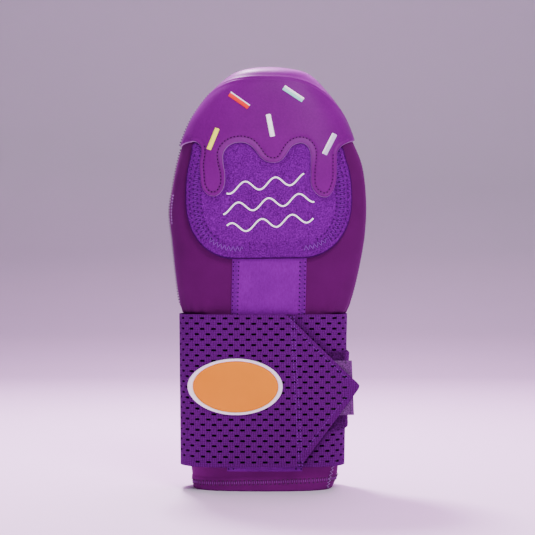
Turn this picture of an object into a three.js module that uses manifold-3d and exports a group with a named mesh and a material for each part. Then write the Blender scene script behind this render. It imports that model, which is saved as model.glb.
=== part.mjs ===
// Sliding mitt: a padded guard for a base runner's hand, standing on its open cuff.
// Millimetres. +Z runs from the cuff's rim to the fingertips, -Y faces out from the back of the hand,
// and +X is on the right of that face. Sections are measured from the side seams' plane.

import * as THREE from 'three';
import { mergeVertices } from 'three/addons/utils/BufferGeometryUtils.js';
import Module from 'manifold-3d';

const wasm = await Module();
wasm.setup();

// Driving dimensions: how thick each layer is, and the clearance between pieces that are sewn together
const GAP = 0.3;
const BODY_WALL = 3;
const CAP_THICKNESS = 1.5;
const PATCH_THICKNESS = 2;
const STRIP_THICKNESS = 1.2;
const SPRINKLE_THICKNESS = 0.8;
const STRAP_THICKNESS = 1.5;
const HOOK_THICKNESS = 1;
const PAD_THICKNESS = 1;
const BADGE_THICKNESS = 1.2;

// The cuff reaches this high under the strap, where the body panels take over
const CUFF_HEIGHT = 22;

// How fine the curved surfaces are cut: facets round a section, and parts of a curved edge
const FACETS_ROUND = 40;
const EDGE_PARTS = 5;
const BADGE_PARTS = 28;

// Cutting solids reach this far past the mitt
const REACH = 90;
const SKY = 290;

// Outer surface of the padded body, one row for each section from the rim to the fingertips.
// left, right, front and back are measured from the middle, and the squares are the superellipse's exponents:
// the front lies flatter over the splint than the palm does.
const BODY_SECTIONS = [
  { z: 0, left: 45.3, right: 40.0, front: 20.4, back: 20.4, frontSquare: 2.8, backSquare: 2.3 },
  { z: 10, left: 46.7, right: 43.2, front: 21.1, back: 21.1, frontSquare: 3.0, backSquare: 2.4 },
  { z: 24, left: 48.4, right: 43.4, front: 21.7, back: 21.8, frontSquare: 3.4, backSquare: 2.5 },
  { z: 46, left: 49.4, right: 44.1, front: 22.2, back: 22.4, frontSquare: 3.4, backSquare: 2.5 },
  { z: 70, left: 50.3, right: 44.9, front: 22.6, back: 22.9, frontSquare: 3.4, backSquare: 2.5 },
  { z: 90, left: 50.9, right: 45.6, front: 22.9, back: 23.2, frontSquare: 3.4, backSquare: 2.5 },
  { z: 102, left: 51.0, right: 46.0, front: 23.0, back: 23.5, frontSquare: 3.4, backSquare: 2.5 },
  { z: 109, left: 51.3, right: 47.2, front: 23.2, back: 23.8, frontSquare: 3.4, backSquare: 2.5 },
  { z: 114.5, left: 54.0, right: 51.0, front: 24.0, back: 25.2, frontSquare: 3.2, backSquare: 2.5 },
  { z: 122, left: 55.4, right: 53.5, front: 24.8, back: 26.2, frontSquare: 3.2, backSquare: 2.5 },
  { z: 136, left: 57.1, right: 56.7, front: 25.6, back: 27.3, frontSquare: 3.2, backSquare: 2.5 },
  { z: 153, left: 58.9, right: 59.7, front: 26.0, back: 28.1, frontSquare: 3.2, backSquare: 2.6 },
  { z: 170, left: 60.6, right: 60.9, front: 26.0, back: 28.2, frontSquare: 3.0, backSquare: 2.6 },
  { z: 186, left: 58.4, right: 60.3, front: 25.5, back: 27.4, frontSquare: 3.0, backSquare: 2.6 },
  { z: 200, left: 55.7, right: 58.1, front: 24.4, back: 25.9, frontSquare: 3.0, backSquare: 2.7 },
  { z: 213, left: 51.8, right: 52.8, front: 22.8, back: 23.7, frontSquare: 3.0, backSquare: 2.7 },
  { z: 226, left: 46.2, right: 47.4, front: 21.0, back: 21.1, frontSquare: 3.0, backSquare: 2.7 },
  { z: 237, left: 38.7, right: 40.9, front: 19.3, back: 18.3, frontSquare: 3.0, backSquare: 2.7 },
  { z: 245, left: 31.8, right: 34.3, front: 17.5, back: 15.4, frontSquare: 3.0, backSquare: 2.7 },
  { z: 251, left: 25.4, right: 28.7, front: 15.2, back: 12.2, frontSquare: 2.7, backSquare: 2.7 },
  { z: 255, left: 18.8, right: 22.6, front: 12.0, back: 8.6, frontSquare: 2.6, backSquare: 2.6 },
  { z: 257.3, left: 10.6, right: 11.6, front: 6.6, back: 4.8, frontSquare: 2.4, backSquare: 2.4 },
  { z: 258.1, left: 3, right: 3, front: 2, back: 1.5, frontSquare: 2, backSquare: 2 },
];

// How a smooth edge may run at a turning point: the share of the step to the next point that its handle takes
const HANDLES = {
  level: { across: 1, up: 0 },
  plumb: { across: 0, up: 1 },
  steep: { across: 0.35, up: 1 },
  gentle: { across: 1, up: 0.45 },
};

// Front edge of the cap from the left seam to the right one: where each arch and drip turns, and how it runs there
const DRIP_EDGE = [
  { x: -53.3, z: 209.9, runs: 'steep' },
  { x: -44.7, z: 212.0, runs: 'level' },
  { x: -39.6, z: 206.6, runs: 'plumb' },
  { x: -40.5, z: 196.6, runs: 'plumb' },
  { x: -40.0, z: 188.8, runs: 'plumb' },
  { x: -32.3, z: 178.5, runs: 'level' },
  { x: -25.3, z: 188.6, runs: 'plumb' },
  { x: -26.6, z: 202.5, runs: 'plumb' },
  { x: -16.6, z: 211.1, runs: 'level' },
  { x: 3.6, z: 198.6, runs: 'level' },
  { x: 20.2, z: 210.6, runs: 'level' },
  { x: 25.9, z: 202.5, runs: 'plumb' },
  { x: 25.8, z: 188.0, runs: 'plumb' },
  { x: 34.4, z: 178.0, runs: 'level' },
  { x: 41.4, z: 192.8, runs: 'plumb' },
  { x: 41.5, z: 202.8, runs: 'plumb' },
  { x: 53.3, z: 213.6, runs: 'gentle' },
];
const DRIP_ROUNDNESS = 0.55;

// Edge of the plush patch from its top left round the bottom to its top right, under the cap
const PATCH_EDGE = [
  { x: -44.2, z: 214.0, runs: 'plumb' },
  { x: -48.6, z: 177.7, runs: 'plumb' },
  { x: -19.0, z: 140.8, runs: 'level' },
  { x: 19.6, z: 141.2, runs: 'level' },
  { x: 50.4, z: 176.5, runs: 'plumb' },
  { x: 45.3, z: 214.0, runs: 'plumb' },
];
const PATCH_ROUNDNESS = 0.6;

// The centre strip leans a little to the left on its way down
const STRIP = { top: 140.2, topLeft: -21.1, topRight: 23.5, bottom: 12.4, bottomLeft: -24.4, bottomRight: 21 };

// The five stitched sprinkles: the middle of each, and how far it is turned from lying level
const SPRINKLE_LENGTH = 13.6;
const SPRINKLE_WIDTH = 3;
const SPRINKLES = [
  { name: 'coral', x: -17.0, z: 236.6, turned: -36, colour: 0xe5484b },
  { name: 'mint', x: 15.5, z: 240.7, turned: -34, colour: 0x4fd3ae },
  { name: 'white', x: 1.7, z: 221.3, turned: -79, colour: 0xf3ecf6 },
  { name: 'yellow', x: -32.4, z: 213.1, turned: 69, colour: 0xf2d541 },
  { name: 'lilac', x: 36.9, z: 209.9, turned: 64, colour: 0xdccbe8 },
];

// Inner face of the strap's first turn, at its lower and upper edge
const STRAP_FOOT = { z: 15.5, left: 50.6, right: 45.4, front: 24.3, back: 23.6, frontSquare: 3.8, backSquare: 2.6 };
const STRAP_HEAD = { z: 107.5, left: 51.4, right: 47.7, front: 24.9, back: 24.4, frontSquare: 3.8, backSquare: 2.6 };

// The band starts under the pointed end, runs round the back, rises one layer and leaves the ring again.
// These count facets from the right-hand side, round by the back.
const STRAP_START = -16;
const RISE_START = 11;
const RISE_END = 23;
const STRAP_LEAVE = 30;

// The free end runs straight on from there, measured from the middle, and bends back a little towards the pad.
// Its edges close to a blunt point.
const POINTED_END = [
  { along: 11.5, bottom: 15.5, top: 107.5 },
  { along: 20.2, bottom: 16.4, top: 99.0 },
  { along: 27, bottom: 25.8, top: 92.3 },
  { along: 50.3, bottom: 56.2, top: 69.8 },
  { along: 54, bottom: 61.2, top: 66.6 },
  { along: 55.7, bottom: 63.4, top: 65.2 },
];
const FREE_END_BEND = { from: 27, degrees: 8 };
const HOOK_TAPE = { from: 34, to: 51.5, bottom: 46.6, top: 79.6 };
const LOOP_PAD = { fromFacet: 36, toFacet: 43, bottom: 38, top: 84.4 };

// Oval badge on the strap
const BADGE = { x: -18.9, z: 64.1, halfWidth: 28, halfHeight: 17, rim: 2.4 };

// Colours of the cloths
const PLUM = 0x64206a;
const CAP_VIOLET = 0x8a2e96;
const PLUSH_VIOLET = 0x7a169c;
const STRIP_VIOLET = 0x8a22a8;
const STRAP_PURPLE = 0x5a2080;
const HOOK_LILAC = 0x7c4492;
const PAD_PURPLE = 0x4c2060;
const BADGE_ORANGE = 0xfa8e0a;
const BADGE_WHITE = 0xf4f0f4;

// Vertex step used to find which way a surface faces
const PROBE = 0.01;

// Smooth reading between the rows of a table of sections
const COLUMNS = Object.keys(BODY_SECTIONS[0]);
const bodyCurve = new THREE.CubicInterpolant(
  BODY_SECTIONS.map((row, index) => index),
  BODY_SECTIONS.flatMap((row) => COLUMNS.map((column) => row[column])),
  COLUMNS.length,
);

function bodySection(level) {
  const values = bodyCurve.evaluate(level);
  return Object.fromEntries(COLUMNS.map((column, index) => [column, values[index]]));
}

// Point of a superellipse section; the turn runs from the right-hand side round by the back
function sectionPoint(section, turn) {
  const across = Math.cos(turn);
  const deep = Math.sin(turn);
  const power = 2 / (deep > 0 ? section.backSquare : section.frontSquare);
  const sideways = across > 0 ? section.right : section.left;
  const depth = deep > 0 ? section.back : section.front;
  return new THREE.Vector3(
    Math.sign(across) * Math.abs(across) ** power * sideways,
    Math.sign(deep) * Math.abs(deep) ** power * depth,
    section.z,
  );
}

function bodyPoint(turn, level, outward) {
  const around = sectionPoint(bodySection(level), turn + PROBE)
    .sub(sectionPoint(bodySection(level), turn - PROBE));
  const upward = sectionPoint(bodySection(level + PROBE), turn)
    .sub(sectionPoint(bodySection(level - PROBE), turn));
  const facing = around.cross(upward).normalize();
  return sectionPoint(bodySection(level), turn).addScaledVector(facing, outward);
}

function strapSection(z) {
  const share = (z - STRAP_FOOT.z) / (STRAP_HEAD.z - STRAP_FOOT.z);
  const columns = Object.keys(STRAP_FOOT);
  const blend = (column) => THREE.MathUtils.lerp(STRAP_FOOT[column], STRAP_HEAD[column], share);
  return Object.fromEntries(columns.map((column) => [column, blend(column)]));
}

// Which way the band runs at a turn, seen from above
function strapHeading(turn, z) {
  const section = strapSection(z);
  return sectionPoint(section, turn + PROBE).sub(sectionPoint(section, turn - PROBE)).normalize();
}

function strapPoint(turn, z, outward) {
  const heading = strapHeading(turn, z);
  const facing = new THREE.Vector3(heading.y, -heading.x, 0);
  return sectionPoint(strapSection(z), turn).addScaledVector(facing, outward);
}

// Closed surface through a row of loops with equal numbers of points, its two ends filled
function loft(loops) {
  const count = loops[0].length;
  const middle = (loop) => loop.reduce((sum, point) => sum.add(point), new THREE.Vector3()).divideScalar(count);
  const points = [...loops.flat(), middle(loops[0]), middle(loops.at(-1))];
  const firstMiddle = points.length - 2;
  const lastMiddle = points.length - 1;
  const lastLoop = (loops.length - 1) * count;
  const faces = [];
  for (let step = 0; step < count; step += 1) {
    const next = (step + 1) % count;
    for (let start = 0; start < lastLoop; start += count) {
      faces.push(start + step, start + next, start + next + count);
      faces.push(start + step, start + next + count, start + step + count);
    }
    faces.push(firstMiddle, next, step);
    faces.push(lastMiddle, lastLoop + step, lastLoop + next);
  }
  const geometry = new THREE.BufferGeometry().setFromPoints(points);
  geometry.setIndex(faces);
  return geometry;
}

function toSolid(geometry) {
  const bare = geometry.clone();
  bare.deleteAttribute('normal');
  bare.deleteAttribute('uv');
  const welded = mergeVertices(bare);
  return new wasm.Manifold(new wasm.Mesh({
    numProp: 3,
    vertProperties: new Float32Array(welded.attributes.position.array),
    triVerts: new Uint32Array(welded.index.array),
  }));
}

function toGeometry(solid) {
  const { vertProperties, triVerts } = solid.getMesh();
  const geometry = new THREE.BufferGeometry();
  geometry.setAttribute('position', new THREE.BufferAttribute(vertProperties, 3));
  geometry.setIndex(new THREE.BufferAttribute(triVerts, 1));
  return geometry;
}

const facetTurn = (facet) => (facet * 2 * Math.PI) / FACETS_ROUND;

function ring(pointAt) {
  return Array.from({ length: FACETS_ROUND }, (unused, facet) => pointAt(facetTurn(facet)));
}

// The body's form, grown or shrunk; a footing below the rim makes it a cutter that leaves the cuff open
function bodyForm(outward, footing = 0) {
  const levels = BODY_SECTIONS.map((row, level) => level);
  const loops = levels.map((level) => ring((turn) => bodyPoint(turn, level, outward)));
  if (footing > 0) {
    loops.unshift(loops[0].map((point) => point.clone().setZ(-footing)));
  }
  return toSolid(loft(loops));
}

function bodySkin(low, high) {
  return bodyForm(high).subtract(bodyForm(low, REACH));
}

function strapForm(outward) {
  const heights = [STRAP_FOOT.z, STRAP_HEAD.z];
  return toSolid(loft(heights.map((z) => ring((turn) => strapPoint(turn, z, outward)))));
}

// An outline drawn on the front view, pushed straight through between two depths
function pushThrough(shape, front, back, curveSegments = EDGE_PARTS) {
  const geometry = new THREE.ExtrudeGeometry(shape, { depth: back - front, bevelEnabled: false, curveSegments });
  geometry.rotateX(Math.PI / 2);
  geometry.translate(0, back, 0);
  return toSolid(geometry);
}

function slab(lowZ, highZ, front = -REACH, back = REACH) {
  const geometry = new THREE.BoxGeometry(2 * REACH, back - front, highZ - lowZ);
  geometry.translate(0, (front + back) / 2, (lowZ + highZ) / 2);
  return toSolid(geometry);
}

// A smooth edge through turning points, its handles laid as each row says
function traceEdge(shape, turns, roundness) {
  const handle = (from, to) => [
    from.x + roundness * HANDLES[from.runs].across * (to.x - from.x),
    from.z + roundness * HANDLES[from.runs].up * (to.z - from.z),
  ];
  turns.slice(1).forEach((next, index) => {
    const last = turns[index];
    shape.bezierCurveTo(...handle(last, next), ...handle(next, last), next.x, next.z);
  });
}

// Everything above the cap's edge: dripping in front, straight from seam to seam behind
function capRegion() {
  const leftSeam = DRIP_EDGE[0];
  const rightSeam = DRIP_EDGE.at(-1);
  const front = new THREE.Shape();
  front.moveTo(-REACH, leftSeam.z);
  front.lineTo(leftSeam.x, leftSeam.z);
  traceEdge(front, DRIP_EDGE, DRIP_ROUNDNESS);
  front.lineTo(REACH, rightSeam.z);
  front.lineTo(REACH, SKY);
  front.lineTo(-REACH, SKY);
  const back = new THREE.Shape();
  back.moveTo(-REACH, leftSeam.z);
  back.lineTo(leftSeam.x, leftSeam.z);
  back.lineTo(rightSeam.x, rightSeam.z);
  back.lineTo(REACH, rightSeam.z);
  back.lineTo(REACH, SKY);
  back.lineTo(-REACH, SKY);
  return pushThrough(front, -REACH, GAP).add(pushThrough(back, 0, REACH));
}

function bodyPanels() {
  const shell = bodySkin(-BODY_WALL, 0).intersect(slab(CUFF_HEIGHT + GAP, SKY));
  return {
    front: shell.intersect(slab(0, SKY, -REACH, -GAP / 2)),
    back: shell.intersect(slab(0, SKY, GAP / 2, REACH)),
  };
}

function wristCuff() {
  return bodySkin(-BODY_WALL, 0).intersect(slab(-REACH, CUFF_HEIGHT));
}

function fingertipCap() {
  return bodySkin(GAP, GAP + CAP_THICKNESS).intersect(capRegion());
}

// The patch stops a gap short of the cap all along the drips
function plushPatch() {
  const outline = new THREE.Shape();
  outline.moveTo(PATCH_EDGE[0].x, PATCH_EDGE[0].z);
  traceEdge(outline, PATCH_EDGE, PATCH_ROUNDNESS);
  const cap = capRegion();
  const cleared = [[-GAP, -GAP], [0, -GAP], [GAP, -GAP]]
    .map(([sideways, down]) => cap.translate(sideways, 0, down))
    .reduce((sum, region) => sum.add(region));
  return bodySkin(GAP, GAP + PATCH_THICKNESS).intersect(pushThrough(outline, -REACH, 0)).subtract(cleared);
}

function centreStrip() {
  const outline = new THREE.Shape();
  outline.moveTo(STRIP.topLeft, STRIP.top);
  outline.lineTo(STRIP.bottomLeft, STRIP.bottom);
  outline.lineTo(STRIP.bottomRight, STRIP.bottom);
  outline.lineTo(STRIP.topRight, STRIP.top);
  return bodySkin(GAP, GAP + STRIP_THICKNESS).intersect(pushThrough(outline, -REACH, 0));
}

function sprinkle({ x, z, turned }) {
  const lean = THREE.MathUtils.degToRad(turned);
  const corner = (along, aside) => new THREE.Vector2(along * SPRINKLE_LENGTH / 2, aside * SPRINKLE_WIDTH / 2)
    .rotateAround(new THREE.Vector2(), lean)
    .add(new THREE.Vector2(x, z));
  const outline = new THREE.Shape([corner(-1, -1), corner(1, -1), corner(1, 1), corner(-1, 1)]);
  const base = 2 * GAP + CAP_THICKNESS;
  return bodySkin(base, base + SPRINKLE_THICKNESS).intersect(pushThrough(outline, -REACH, 0));
}

// One cross-section of a band: inner and outer edges at its bottom and top
function bandLoop(pointAt, bottom, top, low, high) {
  return [pointAt(bottom, low), pointAt(top, low), pointAt(top, high), pointAt(bottom, high)];
}

// A point on the free end, which runs straight on from where the band leaves the ring and then bends back
function freeEndPoint(along, z, outward) {
  const turn = facetTurn(STRAP_LEAVE);
  const bend = Math.tan(THREE.MathUtils.degToRad(FREE_END_BEND.degrees));
  const drop = bend * Math.max(0, along - FREE_END_BEND.from);
  return strapPoint(turn, z, outward - drop).addScaledVector(strapHeading(turn, z), along);
}

function wristStrap() {
  const layer = STRAP_THICKNESS + GAP;
  const loops = [];
  for (let facet = STRAP_START; facet <= STRAP_LEAVE; facet += 1) {
    const rise = layer * THREE.MathUtils.smoothstep(facet, RISE_START, RISE_END);
    const pointAt = (z, outward) => strapPoint(facetTurn(facet), z, rise + outward);
    loops.push(bandLoop(pointAt, STRAP_FOOT.z, STRAP_HEAD.z, 0, STRAP_THICKNESS));
  }
  POINTED_END.forEach(({ along, bottom, top }) => {
    const pointAt = (z, outward) => freeEndPoint(along, z, layer + outward);
    loops.push(bandLoop(pointAt, bottom, top, 0, STRAP_THICKNESS));
  });
  return loft(loops);
}

function hookTape() {
  const { from, to, bottom, top } = HOOK_TAPE;
  return loft([from, to].map((along) => bandLoop(
    (z, outward) => freeEndPoint(along, z, outward),
    bottom,
    top,
    STRAP_THICKNESS - HOOK_THICKNESS,
    STRAP_THICKNESS,
  )));
}

function loopPad() {
  const base = STRAP_THICKNESS + GAP;
  const loops = [];
  for (let facet = LOOP_PAD.fromFacet; facet <= LOOP_PAD.toFacet; facet += 1) {
    const pointAt = (z, outward) => strapPoint(facetTurn(facet), z, outward);
    loops.push(bandLoop(pointAt, LOOP_PAD.bottom, LOOP_PAD.top, base, base + PAD_THICKNESS));
  }
  return loft(loops);
}

function oval(inset) {
  const outline = new THREE.Shape();
  outline.absellipse(BADGE.x, BADGE.z, BADGE.halfWidth - inset, BADGE.halfHeight - inset, 0, 2 * Math.PI);
  return pushThrough(outline, -REACH, 0, BADGE_PARTS);
}

function badge() {
  const base = 2 * STRAP_THICKNESS + 2 * GAP;
  const sheet = strapForm(base + BADGE_THICKNESS).subtract(strapForm(base));
  return {
    face: sheet.intersect(oval(BADGE.rim + GAP)),
    rim: sheet.intersect(oval(0)).subtract(oval(BADGE.rim)),
  };
}

function cloth(color, roughness) {
  return new THREE.MeshStandardMaterial({ color, roughness, metalness: 0 });
}

const mitt = new THREE.Group();

function addPiece(name, geometry, material) {
  geometry.computeVertexNormals();
  const piece = new THREE.Mesh(geometry, material);
  piece.name = name;
  mitt.add(piece);
}

const panels = bodyPanels();
const badgeParts = badge();
addPiece('back_of_hand_panel', toGeometry(panels.front), cloth(PLUM, 0.75));
addPiece('palm_panel', toGeometry(panels.back), cloth(PLUM, 0.75));
addPiece('wrist_cuff', toGeometry(wristCuff()), cloth(PLUM, 0.8));
addPiece('fingertip_cap', toGeometry(fingertipCap()), cloth(CAP_VIOLET, 0.4));
addPiece('plush_patch', toGeometry(plushPatch()), cloth(PLUSH_VIOLET, 0.95));
addPiece('centre_strip', toGeometry(centreStrip()), cloth(STRIP_VIOLET, 0.6));
addPiece('wrist_strap', wristStrap(), cloth(STRAP_PURPLE, 0.8));
addPiece('hook_tape', hookTape(), cloth(HOOK_LILAC, 0.5));
addPiece('loop_pad', loopPad(), cloth(PAD_PURPLE, 0.95));
addPiece('badge_face', toGeometry(badgeParts.face), cloth(BADGE_ORANGE, 0.5));
addPiece('badge_rim', toGeometry(badgeParts.rim), cloth(BADGE_WHITE, 0.5));
SPRINKLES.forEach((row) => addPiece(`sprinkle_${row.name}`, toGeometry(sprinkle(row)), cloth(row.colour, 0.6)));

// The origin lies on the ground under the middle of the whole mitt
const extent = new THREE.Box3().setFromObject(mitt);
const centre = extent.getCenter(new THREE.Vector3());
mitt.position.set(-centre.x, -centre.y, -extent.min.z);
mitt.updateMatrixWorld(true);

export default mitt;
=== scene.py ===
"""Dresses the sliding mitt: padded body, dripping leather cap, plush patch, perforated strap and stitching.

Lengths in this file are millimetres, measured like the solids from the plane of the side seams. They turn
into metres, and move to the frame's origin, where a mesh is made.
"""
from functools import lru_cache

import bpy
import numpy as np
from bpy.props import FloatProperty, FloatVectorProperty, PointerProperty
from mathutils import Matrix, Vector, geometry, kdtree, noise


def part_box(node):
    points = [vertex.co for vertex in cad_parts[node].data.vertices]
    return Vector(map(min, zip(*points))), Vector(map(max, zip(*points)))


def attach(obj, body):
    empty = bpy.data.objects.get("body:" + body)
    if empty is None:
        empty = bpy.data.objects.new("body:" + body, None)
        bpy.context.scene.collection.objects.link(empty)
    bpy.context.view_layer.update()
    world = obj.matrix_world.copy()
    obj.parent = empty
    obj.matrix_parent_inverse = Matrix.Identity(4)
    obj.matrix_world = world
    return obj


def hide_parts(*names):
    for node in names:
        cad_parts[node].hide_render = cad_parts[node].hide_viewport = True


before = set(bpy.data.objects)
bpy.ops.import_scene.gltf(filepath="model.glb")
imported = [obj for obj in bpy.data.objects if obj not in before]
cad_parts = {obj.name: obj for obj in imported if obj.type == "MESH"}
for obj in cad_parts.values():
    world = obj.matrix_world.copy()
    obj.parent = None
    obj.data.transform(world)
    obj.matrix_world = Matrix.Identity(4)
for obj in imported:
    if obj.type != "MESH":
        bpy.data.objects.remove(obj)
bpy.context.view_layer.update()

bl_info = {
    "name": "Sliding mitt",
    "version": (1, 0, 0),
    "blender": (4, 5, 0),
    "location": "View3D > Sidebar > Mitt",
    "description": "Builds a sliding mitt piece by piece around its packed frame",
    "category": "Object",
}

MM = 0.001

# Sections of the padded body from the rim to the fingertips
# height, left, right, front, back, front squareness, back squareness
BODY = np.array([
    (0, 45.3, 39.3, 20.4, 20.4, 2.8, 2.3),
    (10, 46.7, 43.2, 21.1, 21.1, 3.0, 2.4),
    (24, 48.4, 43.4, 21.7, 21.8, 3.4, 2.5),
    (46, 49.4, 44.1, 22.2, 22.4, 3.4, 2.5),
    (70, 50.3, 44.9, 22.6, 22.9, 3.4, 2.5),
    (90, 50.9, 45.6, 22.9, 23.2, 3.4, 2.5),
    (102, 51.0, 46.0, 23.0, 23.5, 3.4, 2.5),
    (109, 51.3, 47.2, 23.2, 23.8, 3.4, 2.5),
    (114.5, 54.0, 51.0, 24.0, 25.2, 3.2, 2.5),
    (122, 55.4, 53.5, 24.8, 26.2, 3.2, 2.5),
    (136, 57.1, 56.7, 25.6, 27.3, 3.2, 2.5),
    (153, 58.9, 59.7, 26.0, 28.1, 3.2, 2.6),
    (170, 60.6, 60.9, 26.0, 28.2, 3.0, 2.6),
    (186, 58.4, 60.3, 25.5, 27.4, 3.0, 2.6),
    (200, 55.7, 58.1, 24.4, 25.9, 3.0, 2.7),
    (213, 51.8, 52.8, 22.8, 23.7, 3.0, 2.7),
    (226, 46.2, 47.4, 21.0, 21.1, 3.0, 2.7),
    (237, 38.7, 40.9, 19.3, 18.3, 3.0, 2.7),
    (245, 31.8, 34.3, 17.5, 15.4, 3.0, 2.7),
    (251, 25.4, 28.7, 15.2, 12.2, 2.7, 2.7),
    (255, 18.8, 22.6, 12.0, 8.6, 2.6, 2.6),
    (257.3, 10.6, 11.6, 6.6, 4.8, 2.4, 2.4),
    (258.1, 3, 3, 2, 1.5, 2, 2),
], float)
Z, LEFT, RIGHT, FRONT, BACK, FRONT_SQUARE, BACK_SQUARE = range(7)
TOP_LEVEL = len(BODY) - 1
BODY_RIGHT_MOST = BODY[:, RIGHT].max()
BODY_BACK_MOST = BODY[:, BACK].max()
CUFF_TOP = 22.0
WALL = 2.6

# A small step for reading which way a surface runs, round and up
STEP_TURN, STEP_LEVEL = 0.006, 0.02

# Inner face of the strap's first turn, at its lower and upper edge, in the same columns
STRAP = np.array([
    (15.5, 50.6, 46.1, 24.3, 23.6, 3.8, 2.6),
    (107.5, 51.4, 47.7, 24.9, 24.4, 3.8, 2.6),
], float)
STRAP_LOW, STRAP_HIGH = STRAP[0, Z], STRAP[1, Z]
STRAP_MIDDLE = (STRAP_LOW + STRAP_HIGH) / 2
STRAP_THICK = 1.5
STRAP_LAYER = 1.8

# Angles round the ring, from the right-hand side by way of the back
STRAP_START, STRAP_RISE, STRAP_RISEN, STRAP_LEAVE = np.radians((-144, 99, 207, 270))

# Which share of a smooth edge's step its handle takes, across and up, by how the edge runs there
HANDLES = {"level": (1.0, 0.0), "plumb": (0.0, 1.0), "steep": (0.35, 1.0), "gentle": (1.0, 0.45)}

# The cap's front edge from seam to seam: across, height, and how it runs there
DRIP_EDGE = [
    (-53.3, 209.9, "steep"), (-44.7, 212.0, "level"), (-39.6, 206.6, "plumb"), (-40.5, 196.6, "plumb"),
    (-40.0, 188.8, "plumb"), (-32.3, 178.5, "level"), (-25.3, 188.6, "plumb"), (-26.6, 202.5, "plumb"),
    (-16.6, 211.1, "level"), (3.6, 198.6, "level"), (20.2, 210.6, "level"), (25.9, 202.5, "plumb"),
    (25.8, 188.0, "plumb"), (34.4, 178.0, "level"), (41.4, 192.8, "plumb"), (41.5, 202.8, "plumb"),
    (53.3, 213.6, "gentle"),
]
DRIP_ROUNDNESS, DRIP_SPACING = 0.55, 0.8

# The patch's edge from its top left round the bottom to its top right, which reaches up under the cap
PATCH_EDGE = [
    (-44.6, 222.0, "plumb"), (-48.9, 176.2, "plumb"), (-19.0, 140.8, "level"),
    (19.6, 141.2, "level"), (50.4, 176.5, "plumb"), (44.6, 222.0, "plumb"),
]
PATCH_ROUNDNESS, PATCH_SPACING = 0.6, 0.9

# Half the free end's outline: along the band from the middle of the front, then its lower and upper edge
POINTED_END = np.array([
    (11.5, 15.5, 107.5), (20.2, 16.4, 99.0), (27.0, 25.8, 92.3), (50.3, 56.2, 69.8), (54.0, 61.2, 66.6),
    (55.5, 63.6, 65.0),
])
BEND_FROM, BEND_SLOPE = 27.0, np.tan(np.radians(8))

# Sprinkles: the colour, the middle, the turn in degrees, and which share of the width is white, on the
# upper side
SPRINKLES = [
    ("coral", -17.0, 236.6, -36, 0.18), ("mint", 15.5, 240.7, -34, 0.42), ("white", 1.7, 221.3, -79, 0),
    ("yellow", -32.4, 213.1, 69, 0), ("lilac", 36.9, 209.9, 64, 0.25),
]
SPRINKLE_HALF_LENGTH, SPRINKLE_WIDTH = 6.7, 3.1


def linear(hex_colour):
    """An sRGB hex value as the linear colour that shaders take."""
    parts = [int(hex_colour[i : i + 2], 16) / 255 for i in (0, 2, 4)]
    return [p / 12.92 if p <= 0.04045 else ((p + 0.055) / 1.055) ** 2.4 for p in parts]


def colour(hex_colour, words):
    """A colour property that starts from an sRGB hex value."""
    return FloatVectorProperty(
        name=words.split(",")[0], description=words, subtype="COLOR", size=3, min=0, max=1,
        default=linear(hex_colour),
    )


def length(name, words, value):
    """A length property in millimetres."""
    return FloatProperty(name=name, description=words + ", in millimetres", default=value, min=0.01)


class MittSizes(bpy.types.PropertyGroup):
    """Sizes of the cloths and the stitching."""

    cap_thick: length("Cap", "Thickness of the cap's coated leather", 1.4)
    patch_thick: length("Patch", "Height of the plush patch over the body", 3.0)
    strip_thick: length("Strip", "Thickness of the centre strip", 1.0)
    stitch_pitch: length("Stitch pitch", "Spacing of the lock stitches on the cap", 2.1)
    whip_pitch: length("Whip pitch", "Spacing of the stitches over the side seams", 1.7)
    zigzag_pitch: length("Zigzag pitch", "Spacing of the zigzag's needle holes", 1.3)
    satin_pitch: length("Satin pitch", "Spacing of the threads in the satin stitching", 0.38)
    slot_pitch: length("Slot pitch", "Spacing of the strap's slots along a row", 6.84)
    row_pitch: length("Row pitch", "Spacing of the strap's rows of slots", 3.21)
    slot_wide: length("Slot width", "Length of one slot along the strap", 3.0)
    slot_tall: length("Slot height", "Height of one slot", 1.4)


class MittColours(bpy.types.PropertyGroup):
    """Colours of the cloths, threads and mouldings."""

    body: colour("50064f", "Body, the foam-backed knit")
    cap: colour("6c0475", "Cap, the coated leather")
    cap_edge: colour("c79ad2", "Cut edge, the paler backing at the cap's cut edge")
    patch: colour("64007e", "Patch, the short plush pile")
    strip: colour("6e0086", "Strip, the brushed loop cloth")
    strap: colour("500460", "Strap, the perforated elastic")
    hook: colour("5e2a6a", "Hook tape, the moulded nylon")
    pad: colour("380a42", "Pad, the worn loop pile")
    orange: colour("e88c00", "Badge face, the moulded rubber")
    white: colour("ffffff", "White, the badge rim and the white thread")
    coral: colour("d8241c", "Coral, a sprinkle's thread")
    mint: colour("98decf", "Mint, a sprinkle's thread")
    yellow: colour("f2f240", "Yellow, a sprinkle's thread")
    lilac: colour("ccc0de", "Lilac, a sprinkle's thread")
    floor: colour("e9dfee", "Floor, the plain pale studio sweep")


class MittStage(bpy.types.PropertyGroup):
    """The studio."""

    camera_far: length("Camera distance", "How far the camera stands from the side seams' plane", 900)
    camera_high: length("Camera height", "Height of the camera over the ground", 135.8)
    view_wide: length("View", "Width of the picture at the side seams' plane", 331.7)
    key_watts: FloatProperty(name="Key light", description="Power of the key light", default=9, min=0)


# Reading the tables of sections


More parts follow.
